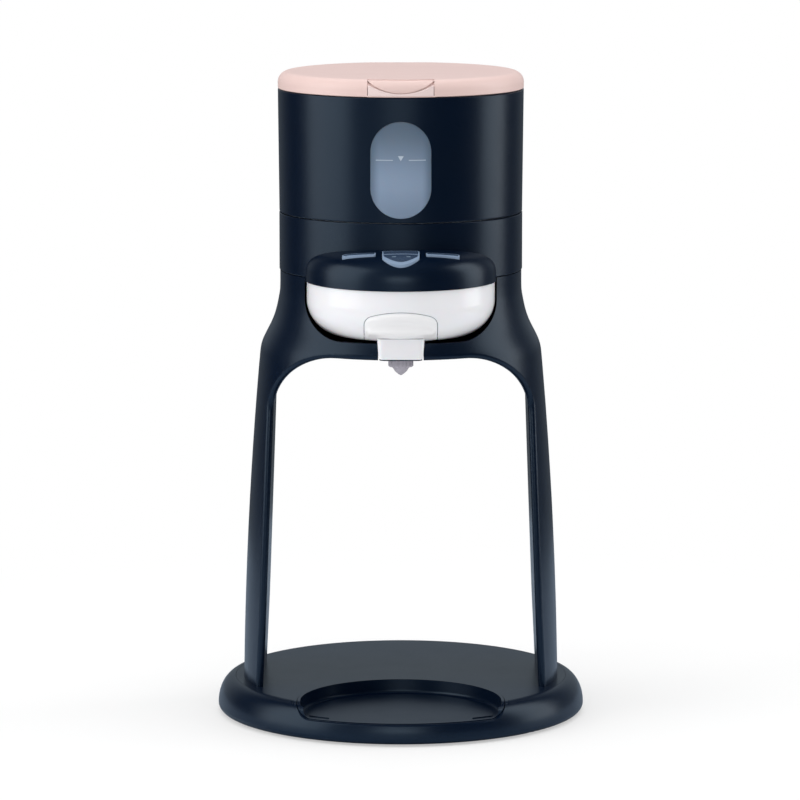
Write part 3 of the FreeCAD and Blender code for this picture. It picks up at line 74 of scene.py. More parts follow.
def share(name, description, default):
    return FloatProperty(name=name, description=description, default=default, subtype="FACTOR",
                         min=0.0, max=1.0)


class FormulaMakerFinish(bpy.types.PropertyGroup):
    """Colours and surface of the moulded parts"""
    navy: colour("Navy", "Satin plastic of the body", (0.0006, 0.0043, 0.0150))
    pink: colour("Pink", "Satin plastic of the lid", (0.730, 0.545, 0.510))
    white: colour("White", "Gloss plastic of the bowl drawer and funnel", (0.830, 0.830, 0.860))
    sheen: colour("Sheen", "Tint of the light that the navy plastic throws back", (0.62, 0.82, 1.0))
    button: colour("Button", "Light blue-grey of the buttons' edges", (0.210, 0.290, 0.410))
    key_face: colour("Key face", "Darker inlay on top of each button", (0.030, 0.050, 0.090))
    # the window's tone below the water line is lighter partly through painted light coming through the water;
    # the dry tone above it is also the colour of the painted shade at the window's foot and sides
    window: colour("Window", "Translucent level window where water stands behind it", (0.225, 0.300, 0.415))
    window_dry: colour("Dry window", "Level window above the water", (0.090, 0.130, 0.185))
    silicone: colour("Silicone", "Soft nozzle, seals and spout", (0.720, 0.700, 0.780))
    grain: length("Grain", "Size of the moulded grain", 0.00035)
    satin: share("Satin", "Roughness of the body's plastic", 0.30)
    gloss: share("Gloss", "Roughness of the white plastic", 0.20)


class FormulaMakerTrim(bpy.types.PropertyGroup):
    """Sizes of the trim on the buttons, the level window, the lid, the funnel and the nozzle"""
    inlay: length("Inlay", "How far an inlay stands proud of its button", 0.00014)
    edge: length("Edge", "Light edge left round an inlay", 0.0009)
    mark_height: length("Mark height", "Height of the full mark above the window's foot", 0.03245)
    mark_reach: length("Mark reach", "From the window's middle to the outer end of the mark", 0.0138)
    mark_gap: length("Mark gap", "From the window's middle to the inner end of the mark", 0.0044)
    mark_width: length("Mark width", "Width of the mark's line", 0.0004)
    grip_lip: length("Grip lip", "How far the lip of the funnel's tab stands proud", 0.0026)
    grip_hollow: length("Grip hollow", "Depth of the finger hollow above the lip", 0.0015)
    apron_half: length("Apron half width", "Half width of the wall below the lid's tab", 0.0181)
    apron_foot: length("Apron foot", "Its lower edge above the foot of the tank's shell", 0.0704)
    apron_middle: length("Apron middle", "Its height in the middle", 0.0012)
    apron_side: length("Apron side", "Its height at the sides", 0.0060)
    nozzle_tube: length("Nozzle tube", "Radius of the nozzle's ribbed tube", 0.0070)
    nozzle_rib: length("Nozzle rib", "Height of the ribs along the tube", 0.0006)
    nozzle_ribs: IntProperty(name="Nozzle ribs", description="Ribs round the tube", default=16, min=3)


class FormulaMakerStudio(bpy.types.PropertyGroup):
    """Camera, lights and floor"""
    camera_distance: length("Camera distance", "From the machine's axis to the camera", 2.630)
    camera_height: length("Camera height", "Camera above the floor", 0.5731)
    camera_offset: length("Camera offset", "Camera to the right of the machine's axis", -0.00046)
    camera_tilt: FloatProperty(name="Camera tilt", description="How far the camera looks down",
                               default=math.radians(8.517), unit="ROTATION", subtype="ANGLE")
    lens: FloatProperty(name="Lens", description="Focal length", default=209.4, unit="CAMERA")
    floor_radius: length("Floor radius", "Round floor under the machine", 0.62)
    room: share("Room", "Level of the soft light from the whole room", 0.62)


# ---------------------------------------------------------------- node trees
class Tree:
    """A node tree, with short calls that add a node and set or link its inputs."""

    def __init__(self, tree):
        self.tree = tree

    def feed(self, value, socket):
        if isinstance(value, bpy.types.NodeSocket):
            self.tree.links.new(value, socket)
        else:
            socket.default_value = value

    def add(self, kind, inputs=(), **settings):
        node = self.tree.nodes.new(kind)
        for key, value in settings.items():
            setattr(node, key, value)
        for key, value in dict(inputs).items():
            self.feed(value, node.inputs[key])
        return node

    def math(self, operation, first, second=0.0):
        return self.add("ShaderNodeMath", {0: first, 1: second}, operation=operation).outputs[0]

    def spread(self, value, low, high, start=0.3, end=0.7, **settings):
        """Carry the values from start to end over to the values from low to high."""
        inputs = {"Value": value, "From Min": start, "From Max": end, "To Min": low, "To Max": high}
        return self.add("ShaderNodeMapRange", inputs, **settings).outputs["Result"]

    def ease(self, value, low, high, start, end):
        return self.spread(value, low, high, start, end, interpolation_type="SMOOTHSTEP")

    def mix(self, factor, first, second):
        """Blend two colours; the numbers are the colour sockets of Blender's mix node."""
        node = self.add("ShaderNodeMix", data_type="RGBA")
        for index, value in ((0, factor), (6, first), (7, second)):
            self.feed(value, node.inputs[index])
        return node.outputs[2]


class Finish(Tree):
    """Node tree of a new material, with its Principled shader."""

    def __init__(self, name):
        self.material = bpy.data.materials.new(name)
        self.material.use_nodes = True
        super().__init__(self.material.node_tree)
        self.shader = self.tree.nodes["Principled BSDF"]
        self.place = self.add("ShaderNodeTexCoord").outputs["Object"]

    def link(self, socket, key):
        self.tree.links.new(socket, self.shader.inputs[key])

    def set(self, **values):
        for key, value in values.items():
            self.shader.inputs[key.replace("_", " ")].default_value = value

    def noise(self, scale, detail=2.0, roughness=0.5):
        inputs = {"Vector": self.place, "Scale": scale, "Detail": detail, "Roughness": roughness}
        return self.add("ShaderNodeTexNoise", inputs).outputs["Fac"]

    def bump(self, height, strength, distance, normal=None):
        inputs = {"Height": height, "Strength": strength, "Distance": distance}
        if normal is not None:
            inputs["Normal"] = normal
        return self.add("ShaderNodeBump", inputs).outputs["Normal"]


def rgba(shade, level=1.0):
    return (shade[0] * level, shade[1] * level, shade[2] * level, 1.0)


# ---------------------------------------------------------------- moulded plastics and rubbers
FLOW_SCALE = 14.0            # slow colour flow of a moulding, per metre
WAVE_SCALE = 22.0            # unevenness of a moulded wall, per metre
WAVE_STRENGTH = 0.08
WAVE_HEIGHT = 0.0006
PATCH_SCALE = 60.0           # patches that handling has worn or polished, per metre
GRAIN_HEIGHT = 0.00012
GRAIN_ROUGHNESS = 0.025      # how far the grain alone moves the roughness up and down
COAT_ROUGHNESS = 0.06


def moulded(name, shade, roughness, grain, relief=0.05, mottle=0.06, specular=0.5, coat=0.0, worn=0.03):
    """Moulded plastic: fine spark grain, a soft flow mottle and slightly polished or worn patches."""
    made = Finish(name)
    flow = made.spread(made.noise(FLOW_SCALE, detail=4.0, roughness=0.55), 0.0, 1.0)
    made.link(made.mix(flow, rgba(shade, 1.0 - mottle), rgba(shade, 1.0 + mottle)), "Base Color")
    fine = made.noise(1.0 / grain, roughness=0.6)
    waves = made.noise(WAVE_SCALE, detail=1.0, roughness=0.4)
    patches = made.noise(PATCH_SCALE, detail=5.0, roughness=0.6)
    rough = made.math("ADD", made.spread(patches, roughness - worn, roughness + worn),
                      made.spread(fine, -GRAIN_ROUGHNESS, GRAIN_ROUGHNESS))
    made.link(rough, "Roughness")
    uneven = made.bump(waves, WAVE_STRENGTH, WAVE_HEIGHT)
    made.link(made.bump(fine, relief, GRAIN_HEIGHT, uneven), "Normal")
    made.set(Specular_IOR_Level=specular)
    if coat:
        made.set(Coat_Weight=coat, Coat_Roughness=COAT_ROUGHNESS)
    return made


def navy_plastic(name, finish):
    made = moulded(name, finish.navy, finish.satin, finish.grain, relief=0.06, worn=0.012)
    made.set(Specular_Tint=rgba(finish.sheen))
    return made


def pink_plastic(name, finish):
    return moulded(name, finish.pink, roughness=0.42, grain=finish.grain, mottle=0.015)


def white_plastic(name, finish):
    orange_peel = 0.004
    made = moulded(name, finish.white, finish.gloss, orange_peel, relief=0.01, mottle=0.008, coat=0.22,
                   worn=0.012)
    made.set(Subsurface_Weight=0.12, Subsurface_Scale=0.003)
    return made


def button_plastic(name, finish):
    return moulded(name, finish.button, roughness=0.30, grain=finish.grain, relief=0.03, mottle=0.03)


def key_face(name, finish):
    return moulded(name, finish.key_face, roughness=0.26, grain=finish.grain, relief=0.03, mottle=0.05)


def level_mark(name, finish):
    print_blue = (0.42, 0.49, 0.58)
    return moulded(name, print_blue, roughness=0.4, grain=finish.grain, relief=0.03, mottle=0.05)


def black_plastic(name, finish):
    black = (0.014, 0.014, 0.016)
    return moulded(name, black, roughness=0.45, grain=finish.grain, relief=0.1, mottle=0.1)


def black_rubber(name, finish):
    black = (0.020, 0.020, 0.022)
    return moulded(name, black, roughness=0.75, grain=0.0006, relief=0.25, mottle=0.15, specular=0.3)


def silicone(name, finish):
    made = moulded(name, finish.silicone, roughness=0.34, grain=0.0012, mottle=0.03)
    made.set(Subsurface_Weight=0.55, Subsurface_Scale=0.004, Transmission_Weight=0.25)
    return made


def hose_silicone(name, finish):
    milky = (0.66, 0.66, 0.62)
    made = moulded(name, milky, roughness=0.3, grain=0.002, relief=0.04, mottle=0.04)
    made.set(Subsurface_Weight=0.4, Subsurface_Scale=0.003, Transmission_Weight=0.2)
    return made


# ---------------------------------------------------------------- clear parts, metals and boards
def window_tint(name, finish):
    """Frosted blue-grey window: darker where no water stands behind it, partly as painted shade, and with
    painted shade at its foot and at its sides.
    """
    made = Finish(name)
    low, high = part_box("level_window")
    tall = high.z - low.z
    water_line = low.z + 0.35 * tall
    foot_shade_line = low.z + 0.3 * tall
    side_shade_line = 0.66 * high.x
    split = made.add("ShaderNodeSeparateXYZ", {0: made.place}).outputs
    # above the water line the window turns to the dry tone: partly its tone where no water stands behind it,
    # partly painted shade
    dry_and_shade = made.ease(split["Z"], 0.0, 1.0, water_line, high.z)
    # painted shade towards the window's foot
    foot = made.spread(split["Z"], 0.35, 0.0, low.z, foot_shade_line)
    wet_and_foot_shade = made.mix(foot, rgba(finish.window), rgba(finish.window_dry))
    body = made.mix(dry_and_shade, wet_and_foot_shade, rgba(finish.window_dry))
    # painted shade along the window's sides
    side = made.ease(made.math("ABSOLUTE", split["X"]), 0.0, 0.75, side_shade_line, high.x)
    made.link(made.mix(side, body, rgba(finish.window_dry)), "Base Color")
    frost_scale = 900.0
    frost = made.noise(frost_scale, detail=3.0, roughness=0.6)
    made.link(made.spread(frost, 0.16, 0.24), "Roughness")
    made.link(made.bump(frost, strength=0.04, distance=0.0002), "Normal")
    made.set(Subsurface_Weight=0.2, Subsurface_Scale=0.004, Coat_Weight=0.2, Coat_Roughness=0.1)
    return made


def clear_tank(name, finish):
    """Clear smoke-blue water tank."""
    made = Finish(name)
    smoke, pale_smoke = (0.55, 0.63, 0.70), (0.62, 0.70, 0.76)
    drop_scale = 240.0
    drops = made.noise(drop_scale)
    made.link(made.mix(drops, rgba(smoke), rgba(pale_smoke)), "Base Color")
    made.link(made.spread(drops, 0.05, 0.14), "Roughness")
    made.set(Transmission_Weight=0.75, IOR=1.49)
    return made


def metal(name, shade, roughness, track_scale):
    """Drawn or blasted metal with fine tracks."""
    made = Finish(name)
    stain_scale = 45.0
    tracks = made.noise(track_scale, detail=4.0, roughness=0.7)
    stains = made.noise(stain_scale, detail=3.0)
    made.link(made.mix(stains, rgba(shade, 0.9), rgba(shade, 1.06)), "Base Color")
    made.link(made.spread(tracks, roughness - 0.08, roughness + 0.1), "Roughness")
    made.link(made.bump(tracks, strength=0.12, distance=0.0001), "Normal")
    made.set(Metallic=1.0)
    return made


def steel(name, finish):
    return metal(name, (0.56, 0.56, 0.58), roughness=0.24, track_scale=900.0)


def alloy(name, finish):
    return metal(name, (0.52, 0.53, 0.54), roughness=0.48, track_scale=2400.0)


def circuit_board(name, finish):
    """Green circuit board with paler copper runs."""
    made = Finish(name)
    mask, pale_mask, copper_run = (0.010, 0.095, 0.050), (0.016, 0.120, 0.060), (0.050, 0.190, 0.100)
    run_scale, run_width, mask_grain = 260.0, 0.03, 700.0
    runs = made.add("ShaderNodeTexBrick", {
        "Vector": made.place, "Color1": rgba(mask), "Color2": rgba(pale_mask),
        "Mortar": rgba(copper_run), "Scale": run_scale, "Mortar Size": run_width}).outputs
    made.link(runs["Color"], "Base Color")
    made.link(made.spread(made.noise(mask_grain), 0.28, 0.38), "Roughness")
    made.link(made.bump(runs["Fac"], strength=0.1, distance=0.0001), "Normal")
    return made


FINISHES = (navy_plastic, pink_plastic, white_plastic, button_plastic, key_face, black_plastic,
            black_rubber, silicone, level_mark, hose_silicone, window_tint, clear_tank, steel, alloy,
            circuit_board)


class FORMULA_OT_finishes(bpy.types.Operator):
    """Give every part of the frame its finish"""
    bl_idname = "formula_maker.finishes"
    bl_label = "Finishes"

    def execute(self, context):
        finish = context.scene.formula_maker_finish
        made = {build.__name__: build(build.__name__, finish).material for build in FINISHES}
        slots = {part["node"]: part["material_slot"] for part in frame["record"]["subparts"]}
        for name, node in frame["nodes"].items():
            node.data.materials.clear()
            node.data.materials.append(made[slots[name]])
            for polygon in node.data.polygons:
                polygon.material_index = 0
        return {"FINISHED"}


# ---------------------------------------------------------------- helpers for the modelled pieces
SEAM = 1e-6                  # points of a closed ring that are nearer than this are one point
REACH = 0.02                 # a feeling line starts this far off a node's box


def spaced(low, high, count):
    return [low + (high - low) * step / (count - 1) for step in range(count)]


def surface_point(node, origin, direction):
    """Where a straight line from origin first meets the node."""
    hit, place, _, _ = frame["nodes"][node].ray_cast(Vector(origin), direction)
    if not hit:
        raise ValueError(f"no surface of {node} on the line from {tuple(origin)}")
    return place


def weld(mesh):
    """Join the doubled points of a closed ring and turn its faces outwards."""
    shell = bmesh.new()
    shell.from_mesh(mesh)
    bmesh.ops.remove_doubles(shell, verts=shell.verts, dist=SEAM)
    bmesh.ops.recalc_face_normals(shell, faces=shell.faces)
    shell.to_mesh(mesh)
    shell.free()


def grid_piece(name, rows, material, thickness=0.0, offset=0.0, closed=False, bevel=0.0):
    """Piece through rows of points: a sheet with a thickness and softened edges, or a closed ring."""
    mesh = bpy.data.meshes.new(name)
    width = len(rows[0])
    around = width if closed else width - 1
    faces = [(row * width + at, row * width + (at + 1) % width,
              (row + 1) * width + (at + 1) % width, (row + 1) * width + at)
             for row in range(len(rows) - 1) for at in range(around)]
    mesh.from_pydata([tuple(point) for row in rows for point in row], [], faces)
    if closed:
        weld(mesh)
    mesh.shade_smooth()
    mesh.materials.append(bpy.data.materials[material])
    piece = bpy.data.objects.new(name, mesh)
    bpy.context.scene.collection.objects.link(piece)
    if thickness:
        solid = piece.modifiers.new("thickness", "SOLIDIFY")
        solid.thickness = thickness
        solid.offset = offset
    if bevel:
        soft = piece.modifiers.new("edges", "BEVEL")
        soft.width = bevel
        soft.segments = 2
        soft.limit_method = "ANGLE"
    return piece


# ---------------------------------------------------------------- buttons
def key_inlay(name, node, lines, trim, material="key_face", height=None):
    """Inlay that lies on a button's top; lines are rows of places (x, y) seen from above."""
    thickness = height or trim.inlay
    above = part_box(node)[1].z + REACH
    lift = Vector((0, 0, trim.inlay / 2))
    rows = [[surface_point(node, (x, y, above), DOWN) + lift for x, y in line] for line in lines]
    piece = grid_piece(name, rows, material, thickness=thickness, bevel=trim.inlay / 3)
    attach(piece, node)


class FORMULA_OT_key_inlays(bpy.types.Operator):
    """Dark inlays on the three buttons, with two generic marks on the middle one"""
    bl_idname = "formula_maker.key_inlays"
    bl_label = "Button inlays"

    bar_depth = 0.0048        # bar along the back of the middle button, front to back
    shoulder_depth = 0.0058   # from the middle button's front to where its sides begin
    taper = 0.05              # how much narrower the face is at its front
    ends = 0.8                # margin at the ends of each inlay; this and the next four are in edges
    side_back = 2.7
    side_front = 1.1
    bar_back = 0.7
    face_front = 1.7
    mark_places = {"left": -0.0038, "right": 0.0042}
    mark_setback = 0.0028
    mark_half_width = 0.0011
    mark_half_depth = 0.00025

    def execute(self, context):
        trim = context.scene.formula_maker_trim
        for node in ("button_left", "button_right"):
            self.side_inlay(node, trim)
        self.centre_inlays(trim)
        return {"FINISHED"}

    def side_inlay(self, node, trim):
        """Bar inlay along arcs about the machine's axis, with its faces turned up on either side."""
        edge = trim.edge
        low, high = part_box(node)
        side = 1 if low.x > 0 else -1
        inner, outer = sorted((abs(low.x), abs(high.x)))
        front_arc = math.hypot(inner, low.y)
        arcs = spaced(front_arc - self.side_back * edge, front_arc - self.side_front * edge, 4)
        across = spaced(inner + self.ends * edge, outer - self.ends * edge, 15)
        lines = [[(side * x, -math.sqrt(arc ** 2 - x ** 2)) for x in across] for arc in arcs]
        if side > 0:
            lines.reverse()
        key_inlay(node + "_inlay", node, lines, trim)

    def centre_inlays(self, trim):
        """Straight bar behind, D-shaped face in front, and two small raised marks on the face."""
        edge = trim.edge
        node = "button_centre"
        low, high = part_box(node)
        half = high.x - self.ends * edge
        ledge = high.y - self.bar_depth
        face_back = ledge - edge
        across = spaced(-half, half, 21)

        def front_line(x):
            return low.y + self.shoulder_depth * (x / high.x) ** 2 + self.face_front * edge

        bar = [[(x, y) for x in across] for y in spaced(ledge, high.y - self.bar_back * edge, 5)]
        key_inlay("button_centre_bar", node, bar, trim)
        face = [[(x * (1 - self.taper * depth), face_back + (front_line(x) - face_back) * depth)
                 for x in across] for depth in spaced(1.0, 0.0, 9)]
        key_inlay("button_centre_face", node, face, trim)
        for name, middle in self.mark_places.items():
            mark = [[(middle + x, face_back - self.mark_setback + y)
                     for x in spaced(-self.mark_half_width, self.mark_half_width, 5)]
                    for y in spaced(-self.mark_half_depth, self.mark_half_depth, 3)]
            key_inlay(f"button_mark_{name}", node, mark, trim, "button_plastic", 3 * trim.inlay)


# ---------------------------------------------------------------- level window
class FORMULA_OT_level_mark(bpy.types.Operator):
    """Full mark on the level window: two lines and a small pointer"""
    bl_idname = "formula_maker.level_mark"
    bl_label = "Level mark"

    print_height = 0.00016
    print_edge = 0.00004
    pointer_half = 0.0016
    pointer_height = 0.0028
    pointer_tip = 0.04        # share of the pointer's height that is cut off its tip
    pointer_drop = 2.5        # pointer's tip below the middle of the lines, in half widths of a line

    def execute(self, context):
        trim = context.scene.formula_maker_trim
        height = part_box("level_window")[0].z + trim.mark_height
        half = trim.mark_width / 2
        across = {"level_line_left": (-trim.mark_reach, -trim.mark_gap),
                  "level_line_right": (trim.mark_gap, trim.mark_reach)}
        for name, (start, end) in across.items():
            self.printed(name, [[(x, z) for x in spaced(start, end, 9)]
                                for z in spaced(height - half, height + half, 3)])
        tip = height - self.pointer_drop * half
        self.printed("level_pointer", [[(self.pointer_half * level * x, tip + self.pointer_height * level)
                                        for x in spaced(-1.0, 1.0, 5)]
                                       for level in spaced(self.pointer_tip, 1.0, 6)])
        return {"FINISHED"}

    def printed(self, name, lines):
        """Thin raised print that follows the window; lines are rows of places (x, z) seen from the front."""
        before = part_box("level_window")[0].y - REACH
        rows = [[surface_point("level_window", (x, before, z), BACKWARDS) for x, z in line] for line in lines]
        piece = grid_piece(name, rows, "level_mark", thickness=self.print_height, bevel=self.print_edge)
        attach(piece, "tank")


# ---------------------------------------------------------------- lid
class FORMULA_OT_lid_apron(bpy.types.Operator):
    """Front wall below the lid's finger tab, flush with the skirt and bowed along its upper edge"""
    bl_idname = "formula_maker.lid_apron"
    bl_label = "Lid apron"

    setback = 0.0002
    thickness = 0.0009
    rounding = 0.00025

    def execute(self, context):
        trim = context.scene.formula_maker_trim
        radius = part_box("lid")[1].x - self.setback
        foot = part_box("tank_shell")[0].z + trim.apron_foot
        half = trim.apron_half

        def tall(x):
            return trim.apron_middle + (trim.apron_side - trim.apron_middle) * (x / half) ** 2

        rows = [[Vector((x, -math.sqrt(radius ** 2 - x ** 2), foot + tall(x) * level))
                 for x in spaced(-half, half, 33)] for level in spaced(0.0, 1.0, 7)]
        piece = grid_piece("lid_apron", rows, "pink_plastic", thickness=self.thickness, bevel=self.rounding)
        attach(piece, "lid")
        return {"FINISHED"}


# ---------------------------------------------------------------- funnel
class FORMULA_OT_grip(bpy.types.Operator):
    """Softly shaped face of the funnel's tab: a finger hollow above a rolled lip"""
    bl_idname = "formula_maker.grip"
    bl_label = "Funnel grip"

    margin = 0.0004           # light edge of the tab left round the grip
    foot_gap = 0.0012         # grip's foot above the foot of the bowl
    beside_gap = 0.002        # where the bowl is felt, beside the tab
    felt_below = 0.0006       # where the tab's front is felt, below the grip's upper edge
    tab_depth = 0.012         # the tab's front is no further back than this
    feeler_step = 0.0002
    least_height = 0.001
    wall = 0.0008
    rounding = 0.0002

    def execute(self, context):
        trim = context.scene.formula_maker_trim
        low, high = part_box("funnel")
        half = high.x - self.margin
        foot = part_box("drawer_bowl")[0].z + self.foot_gap
        beside = high.x + self.beside_gap
        before = low.y - REACH

        def belly(z):
            """How far the bowl's front curves back at a height, against the tab's top."""
            return (surface_point("drawer_bowl", (beside, before, z), BACKWARDS).y
                    - surface_point("drawer_bowl", (beside, before, high.z), BACKWARDS).y)

        columns = []
        for turn in spaced(-1.0, 1.0, 41):
            x = half * math.sin(math.pi / 2 * turn)
            top = self.tab_top(x, before, foot, high.z) - self.margin
            felt = top - self.felt_below
            columns.append((x, top, surface_point("funnel", (x, before, felt), BACKWARDS).y - belly(felt)))
        rows = []
        for level in spaced(0.0, 1.0, 25):
            row = []
            for x, top, front in columns:
                z = foot + (top - foot) * level
                row.append(Vector((x, front + belly(z) - self.rise(x / half, level, trim), z)))
            rows.append(row)
        piece = grid_piece("funnel_grip", rows, "white_plastic", thickness=self.wall, offset=-1.0,
                           bevel=self.rounding)
        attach(piece, "drawer")
        return {"FINISHED"}

    def tab_top(self, x, before, foot, top):
        """Height of the tab's arched edge at x, found by feeling down its front."""
        height = top
        while height > foot + self.least_height:
            hit, place, _, _ = frame["nodes"]["funnel"].ray_cast(Vector((x, before, height)), BACKWARDS)
            if hit and place.y < before + REACH + self.tab_depth:
                return height
            height -= self.feeler_step
        return foot + self.least_height

    @staticmethod
    def rise(across, level, trim):
        """How far the grip stands proud of the tab; across and level run over its width and height."""
        side_fade, foot_fade, top_fade = 0.12, 0.10, 0.12
        skin, crown = 0.00012, 0.0006
        ridge = 0.30 + 0.10 * across * across
        hollow_level, hollow_half, softness = 0.62, 0.6, 0.16
        border = (min(1.0, (1 - abs(across)) / side_fade) * min(1.0, level / foot_fade)
                  * min(1.0, (1 - level) / top_fade))
        border = border * border * (3 - 2 * border)
        lip = trim.grip_lip * math.exp(-((level - ridge) / softness) ** 2)
        hollow = trim.grip_hollow * math.exp(-((level - hollow_level) / softness) ** 2
                                             - (across / hollow_half) ** 2)
        return skin + border * (crown + lip - hollow)


# ---------------------------------------------------------------- nozzle
class FORMULA_OT_nozzle(bpy.types.Operator):
    """Soft ribbed nozzle under the funnel, drawn in to a slit cone"""
    bl_idname = "formula_maker.nozzle"
    bl_label = "Nozzle"

    flange_depth = 0.0014
    flange_edge = 0.0003
    wall = 0.0022
    cone_height = 0.0048
    nick = 0.0001             # the small roundings of the tube begin and end at these distances
    rounding = 0.0006
    cone_points = ((0.0032, 0.0022), (0.0012, 0.0005), (0.0005, 0.0001))    # radius, height above the tip
    throat_points = ((0.0003, 0.0004), (0.0024, 0.0030))                    # the same, inside the cone
    rib_start = 0.0018        # ribs begin this far below the top
    points_per_rib = 8
    long_side = 0.003         # a side of the section that is longer than this gets more points
    points_long = 6
    points_short = 2

    def section(self, tube, flange, tip, top):
        """Section of the nozzle as (radius, height), from the bore's top round the outside and back."""
        bore = tube - self.wall
        step = tip + self.cone_height
        edge = self.flange_edge
        under = top - self.flange_depth
        flange_side = [(bore, top), (flange - edge, top), (flange, top - edge), (flange, under + edge),
                       (flange - edge, under)]
        nick, rounding = self.nick, self.rounding
        tube_side = [(tube + nick, under - nick), (tube, under - rounding), (tube, step + rounding),
                     (tube - 4 * nick, step + nick), (bore + 4 * nick, step), (bore, step - 2 * nick)]
        cone = [(radius, tip + height) for radius, height in self.cone_points + self.throat_points]
        return flange_side + tube_side + cone + [(bore, step + 10 * nick), (bore, top)]

    def profile(self, section):
        """The section with points spaced along its sides."""
        points = []
        for first, second in zip(section, section[1:]):
            count = self.points_long if abs(first[1] - second[1]) > self.long_side else self.points_short
            points += [Vector(first).lerp(Vector(second), step / count) for step in range(count)]
        return points + [Vector(section[-1])]

    def execute(self, context):
        trim = context.scene.formula_maker_trim
        low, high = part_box("nozzle")
        axis_y = (low.y + high.y) / 2
        tube = trim.nozzle_tube
        ribbed_from = tube - self.wall + 2 * self.nick
        section = self.section(tube, (high.x - low.x) / 2, low.z, high.z)
        turns = self.points_per_rib * trim.nozzle_ribs
        rows = []
        for radius, height in self.profile(section):
            ribbed = radius > ribbed_from and height < high.z - self.rib_start
            depth = trim.nozzle_rib * min(1.0, radius / tube) if ribbed else 0.0
            row = []
            for turn in range(turns):
                angle = 2 * math.pi * turn / turns
                reach = radius - depth * (0.5 - 0.5 * math.cos(trim.nozzle_ribs * angle))
                row.append((reach * math.cos(angle), axis_y + reach * math.sin(angle), height))
            rows.append(row)
        piece = grid_piece("nozzle_ribbed", rows, "silicone", closed=True)
        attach(piece, "drawer")
        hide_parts("nozzle")
        return {"FINISHED"}


# ---------------------------------------------------------------- studio
AIM = Vector((0, 0, 0.2))    # all lights point at the middle of the machine
PLAIN_WHITE = (1.0, 1.0, 1.0, 1.0)


def area_light(name, place, width, height, power, glossy=True):
    data = bpy.data.lights.new(name, "AREA")
    data.shape = "RECTANGLE"
    data.size = width
    data.size_y = height
    data.energy = power
    lamp = bpy.data.objects.new(name, data)
    lamp.location = place
    lamp.rotation_euler = (AIM - Vector(place)).to_track_quat("-Z", "Y").to_euler()
    lamp.visible_glossy = glossy
    bpy.context.scene.collection.objects.link(lamp)


def soft_box(name, bearing, distance, height, width, tall, radiance, glossy=True):
    """Softbox that faces the machine; bearing is in degrees from the camera's side to the right."""
    angle = math.radians(bearing)
    place = (distance * math.sin(angle), -distance * math.cos(angle), height)
    area_light(name, place, width, tall, radiance * math.pi * width * tall, glossy)


def add_lights():
    soft_box("left_softbox", bearing=-72, distance=1.5, height=0.75, width=1.5, tall=1.7, radiance=1.55)
    soft_box("right_softbox", bearing=96, distance=1.5, height=0.75, width=0.9, tall=1.7, radiance=1.9)
    area_light("overhead", (0, -0.2, 1.7), width=1.6, height=1.2, power=10.0, glossy=False)
    area_light("rear_strip", (0, 0.9, 1.5), width=1.4, height=0.25, power=2.6)
    soft_box("front_fill", bearing=-14, distance=2.2, height=1.2, width=1.6, tall=1.2, radiance=0.34,
             glossy=False)
    soft_box("front_strip", bearing=-2, distance=3.2, height=0.62, width=1.5, tall=0.6, radiance=2.6)


def studio_world(room):
    """White for the camera, a soft room for the light, and a dim blue room in the reflections."""
    world = bpy.data.worlds.new("studio")
    world.use_nodes = True
    tree = Tree(world.node_tree)
    background = world.node_tree.nodes["Background"]
    rays = tree.add("ShaderNodeLightPath").outputs
    direction = tree.add("ShaderNodeTexCoord").outputs["Generated"]
    split = tree.add("ShaderNodeSeparateXYZ", {0: direction}).outputs

    # levels of the room in the reflections; each ramp's last two numbers are its start and end, from -1 to 1
    back_wall, left_wall, below_floor = 0.33, 0.20, 0.5
    cool = (0.78, 0.90, 1.0)
    behind = tree.ease(split["Y"], 0.0, back_wall, 0.50, 0.95)
    above = tree.ease(split["Z"], below_floor, 1.0, -0.06, 0.05)
    front = tree.ease(split["Y"], 1.0, 0.0, -0.2, 0.3)
    left = tree.ease(split["X"], left_wall, 0.0, 0.05, 0.50)
    shown = tree.math("MAXIMUM", tree.math("MULTIPLY", behind, above), tree.math("MULTIPLY", front, left))
    reflected = tree.math("MULTIPLY", rays["Is Glossy Ray"], shown)
    dull = tree.math("SUBTRACT", 1.0, rays["Is Glossy Ray"])
    lit = tree.math("ADD", reflected, tree.math("MULTIPLY", dull, room))
    white = tree.math("MAXIMUM", rays["Is Camera Ray"], rays["Is Transmission Ray"])
    tree.feed(tree.math("MAXIMUM", white, lit), background.inputs["Strength"])
    tree.feed(tree.mix(rays["Is Glossy Ray"], PLAIN_WHITE, rgba(cool)), background.inputs["Color"])
    return world


def floor_material(radius):
    """Pale floor that keeps the shadow, turns to plain white further out, and reflects as a darker one."""
    made = Finish("floor")
    mirrored = (0.32, 0.40, 0.50)
    near, far = 0.3 * radius, 0.8 * radius
    cloud_scale = 3.0
    made.set(Roughness=0.6, Specular_IOR_Level=0.2)
    rays = made.add("ShaderNodeLightPath").outputs
    pale = made.spread(made.noise(cloud_scale, detail=3.0), 0.92, 0.95)
    made.link(made.mix(rays["Is Glossy Ray"], pale, rgba(mirrored)), "Base Color")
    glow = made.add("ShaderNodeEmission", {"Color": PLAIN_WHITE, "Strength": 1.0}).outputs[0]
    away = made.add("ShaderNodeVectorMath", {0: made.place}, operation="LENGTH").outputs["Value"]
    seen = made.math("MULTIPLY", rays["Is Camera Ray"], made.spread(away, 0.45, 1.0, near, far))
    mixed = made.add("ShaderNodeMixShader", {0: seen, 1: made.shader.outputs[0], 2: glow}).outputs[0]
    made.feed(mixed, made.tree.nodes["Material Output"].inputs["Surface"])
    return made.material


def add_floor(radius):
    mesh = bpy.data.meshes.new("floor")
    rim = bmesh.new()
    bmesh.ops.create_circle(rim, cap_ends=True, segments=96, radius=radius)
    rim.to_mesh(mesh)
    rim.free()
    mesh.materials.append(floor_material(radius))
    floor = bpy.data.objects.new("floor", mesh)
    bpy.context.scene.collection.objects.link(floor)


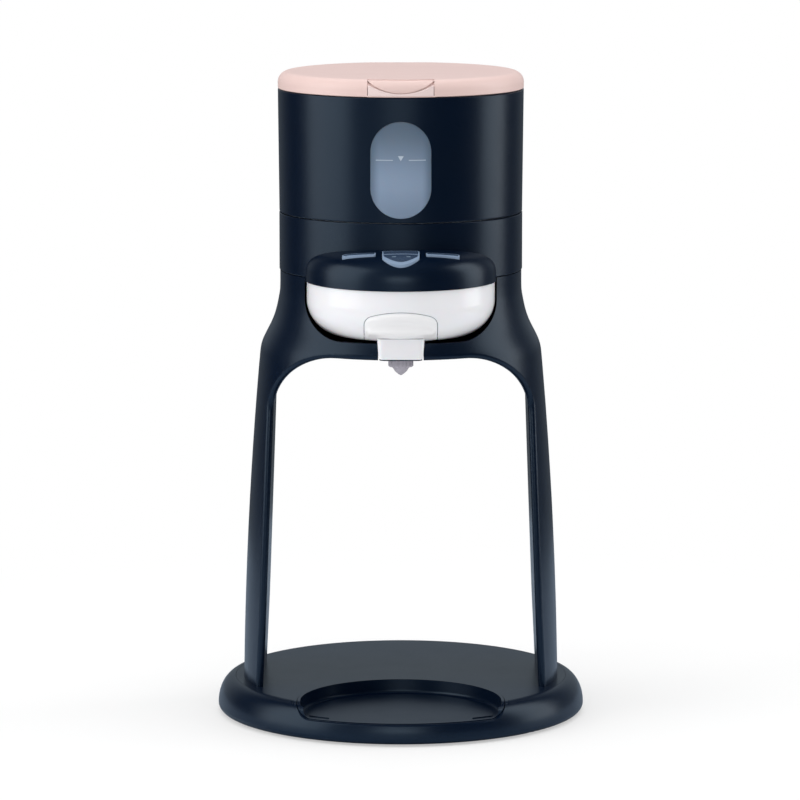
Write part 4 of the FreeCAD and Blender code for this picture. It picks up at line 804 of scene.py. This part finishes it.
def add_camera(studio):
    data = bpy.data.cameras.new("camera")
    data.lens = studio.lens
    data.sensor_width = 36.0
    camera = bpy.data.objects.new("camera", data)
    camera.location = (studio.camera_offset, -studio.camera_distance, studio.camera_height)
    camera.rotation_euler = (math.pi / 2 - studio.camera_tilt, 0, 0)
    bpy.context.scene.collection.objects.link(camera)
    bpy.context.scene.camera = camera


class FORMULA_OT_studio(bpy.types.Operator):
    """Set the floor, the lights, the world and the camera"""
    bl_idname = "formula_maker.studio"
    bl_label = "Studio"

    def execute(self, context):
        studio = context.scene.formula_maker_studio
        add_floor(studio.floor_radius)
        add_lights()
        context.scene.world = studio_world(studio.room)
        add_camera(studio)
        context.scene.view_settings.view_transform = "Standard"
        return {"FINISHED"}


# ---------------------------------------------------------------- panel and registration
class FORMULA_PT_panel(bpy.types.Panel):
    """Lists the machine's pieces and sizes"""
    bl_idname = "FORMULA_PT_panel"
    bl_label = "Formula maker"
    bl_space_type = "VIEW_3D"
    bl_region_type = "UI"
    bl_category = "Formula maker"

    def draw(self, context):
        layout = self.layout
        for name, kind in GROUPS.items():
            box = layout.box()
            for key in kind.__annotations__:
                box.prop(getattr(context.scene, name), key)
        for operator in OPERATORS:
            layout.operator(operator.bl_idname)


GROUPS = {"formula_maker_finish": FormulaMakerFinish, "formula_maker_trim": FormulaMakerTrim,
          "formula_maker_studio": FormulaMakerStudio}
OPERATORS = (FORMULA_OT_finishes, FORMULA_OT_key_inlays, FORMULA_OT_level_mark, FORMULA_OT_lid_apron,
             FORMULA_OT_grip, FORMULA_OT_nozzle, FORMULA_OT_studio)
CLASSES = (*GROUPS.values(), *OPERATORS, FORMULA_PT_panel)


def register():
    for kind in CLASSES:
        bpy.utils.register_class(kind)
    for name, group in GROUPS.items():
        setattr(bpy.types.Scene, name, PointerProperty(type=group))


def unregister():
    for name in GROUPS:
        delattr(bpy.types.Scene, name)
    for kind in reversed(CLASSES):
        bpy.utils.unregister_class(kind)


def main():
    register()
    for operator in OPERATORS:
        group, name = operator.bl_idname.split(".")
        getattr(getattr(bpy.ops, group), name)()


if __name__ == "__main__":
    main()
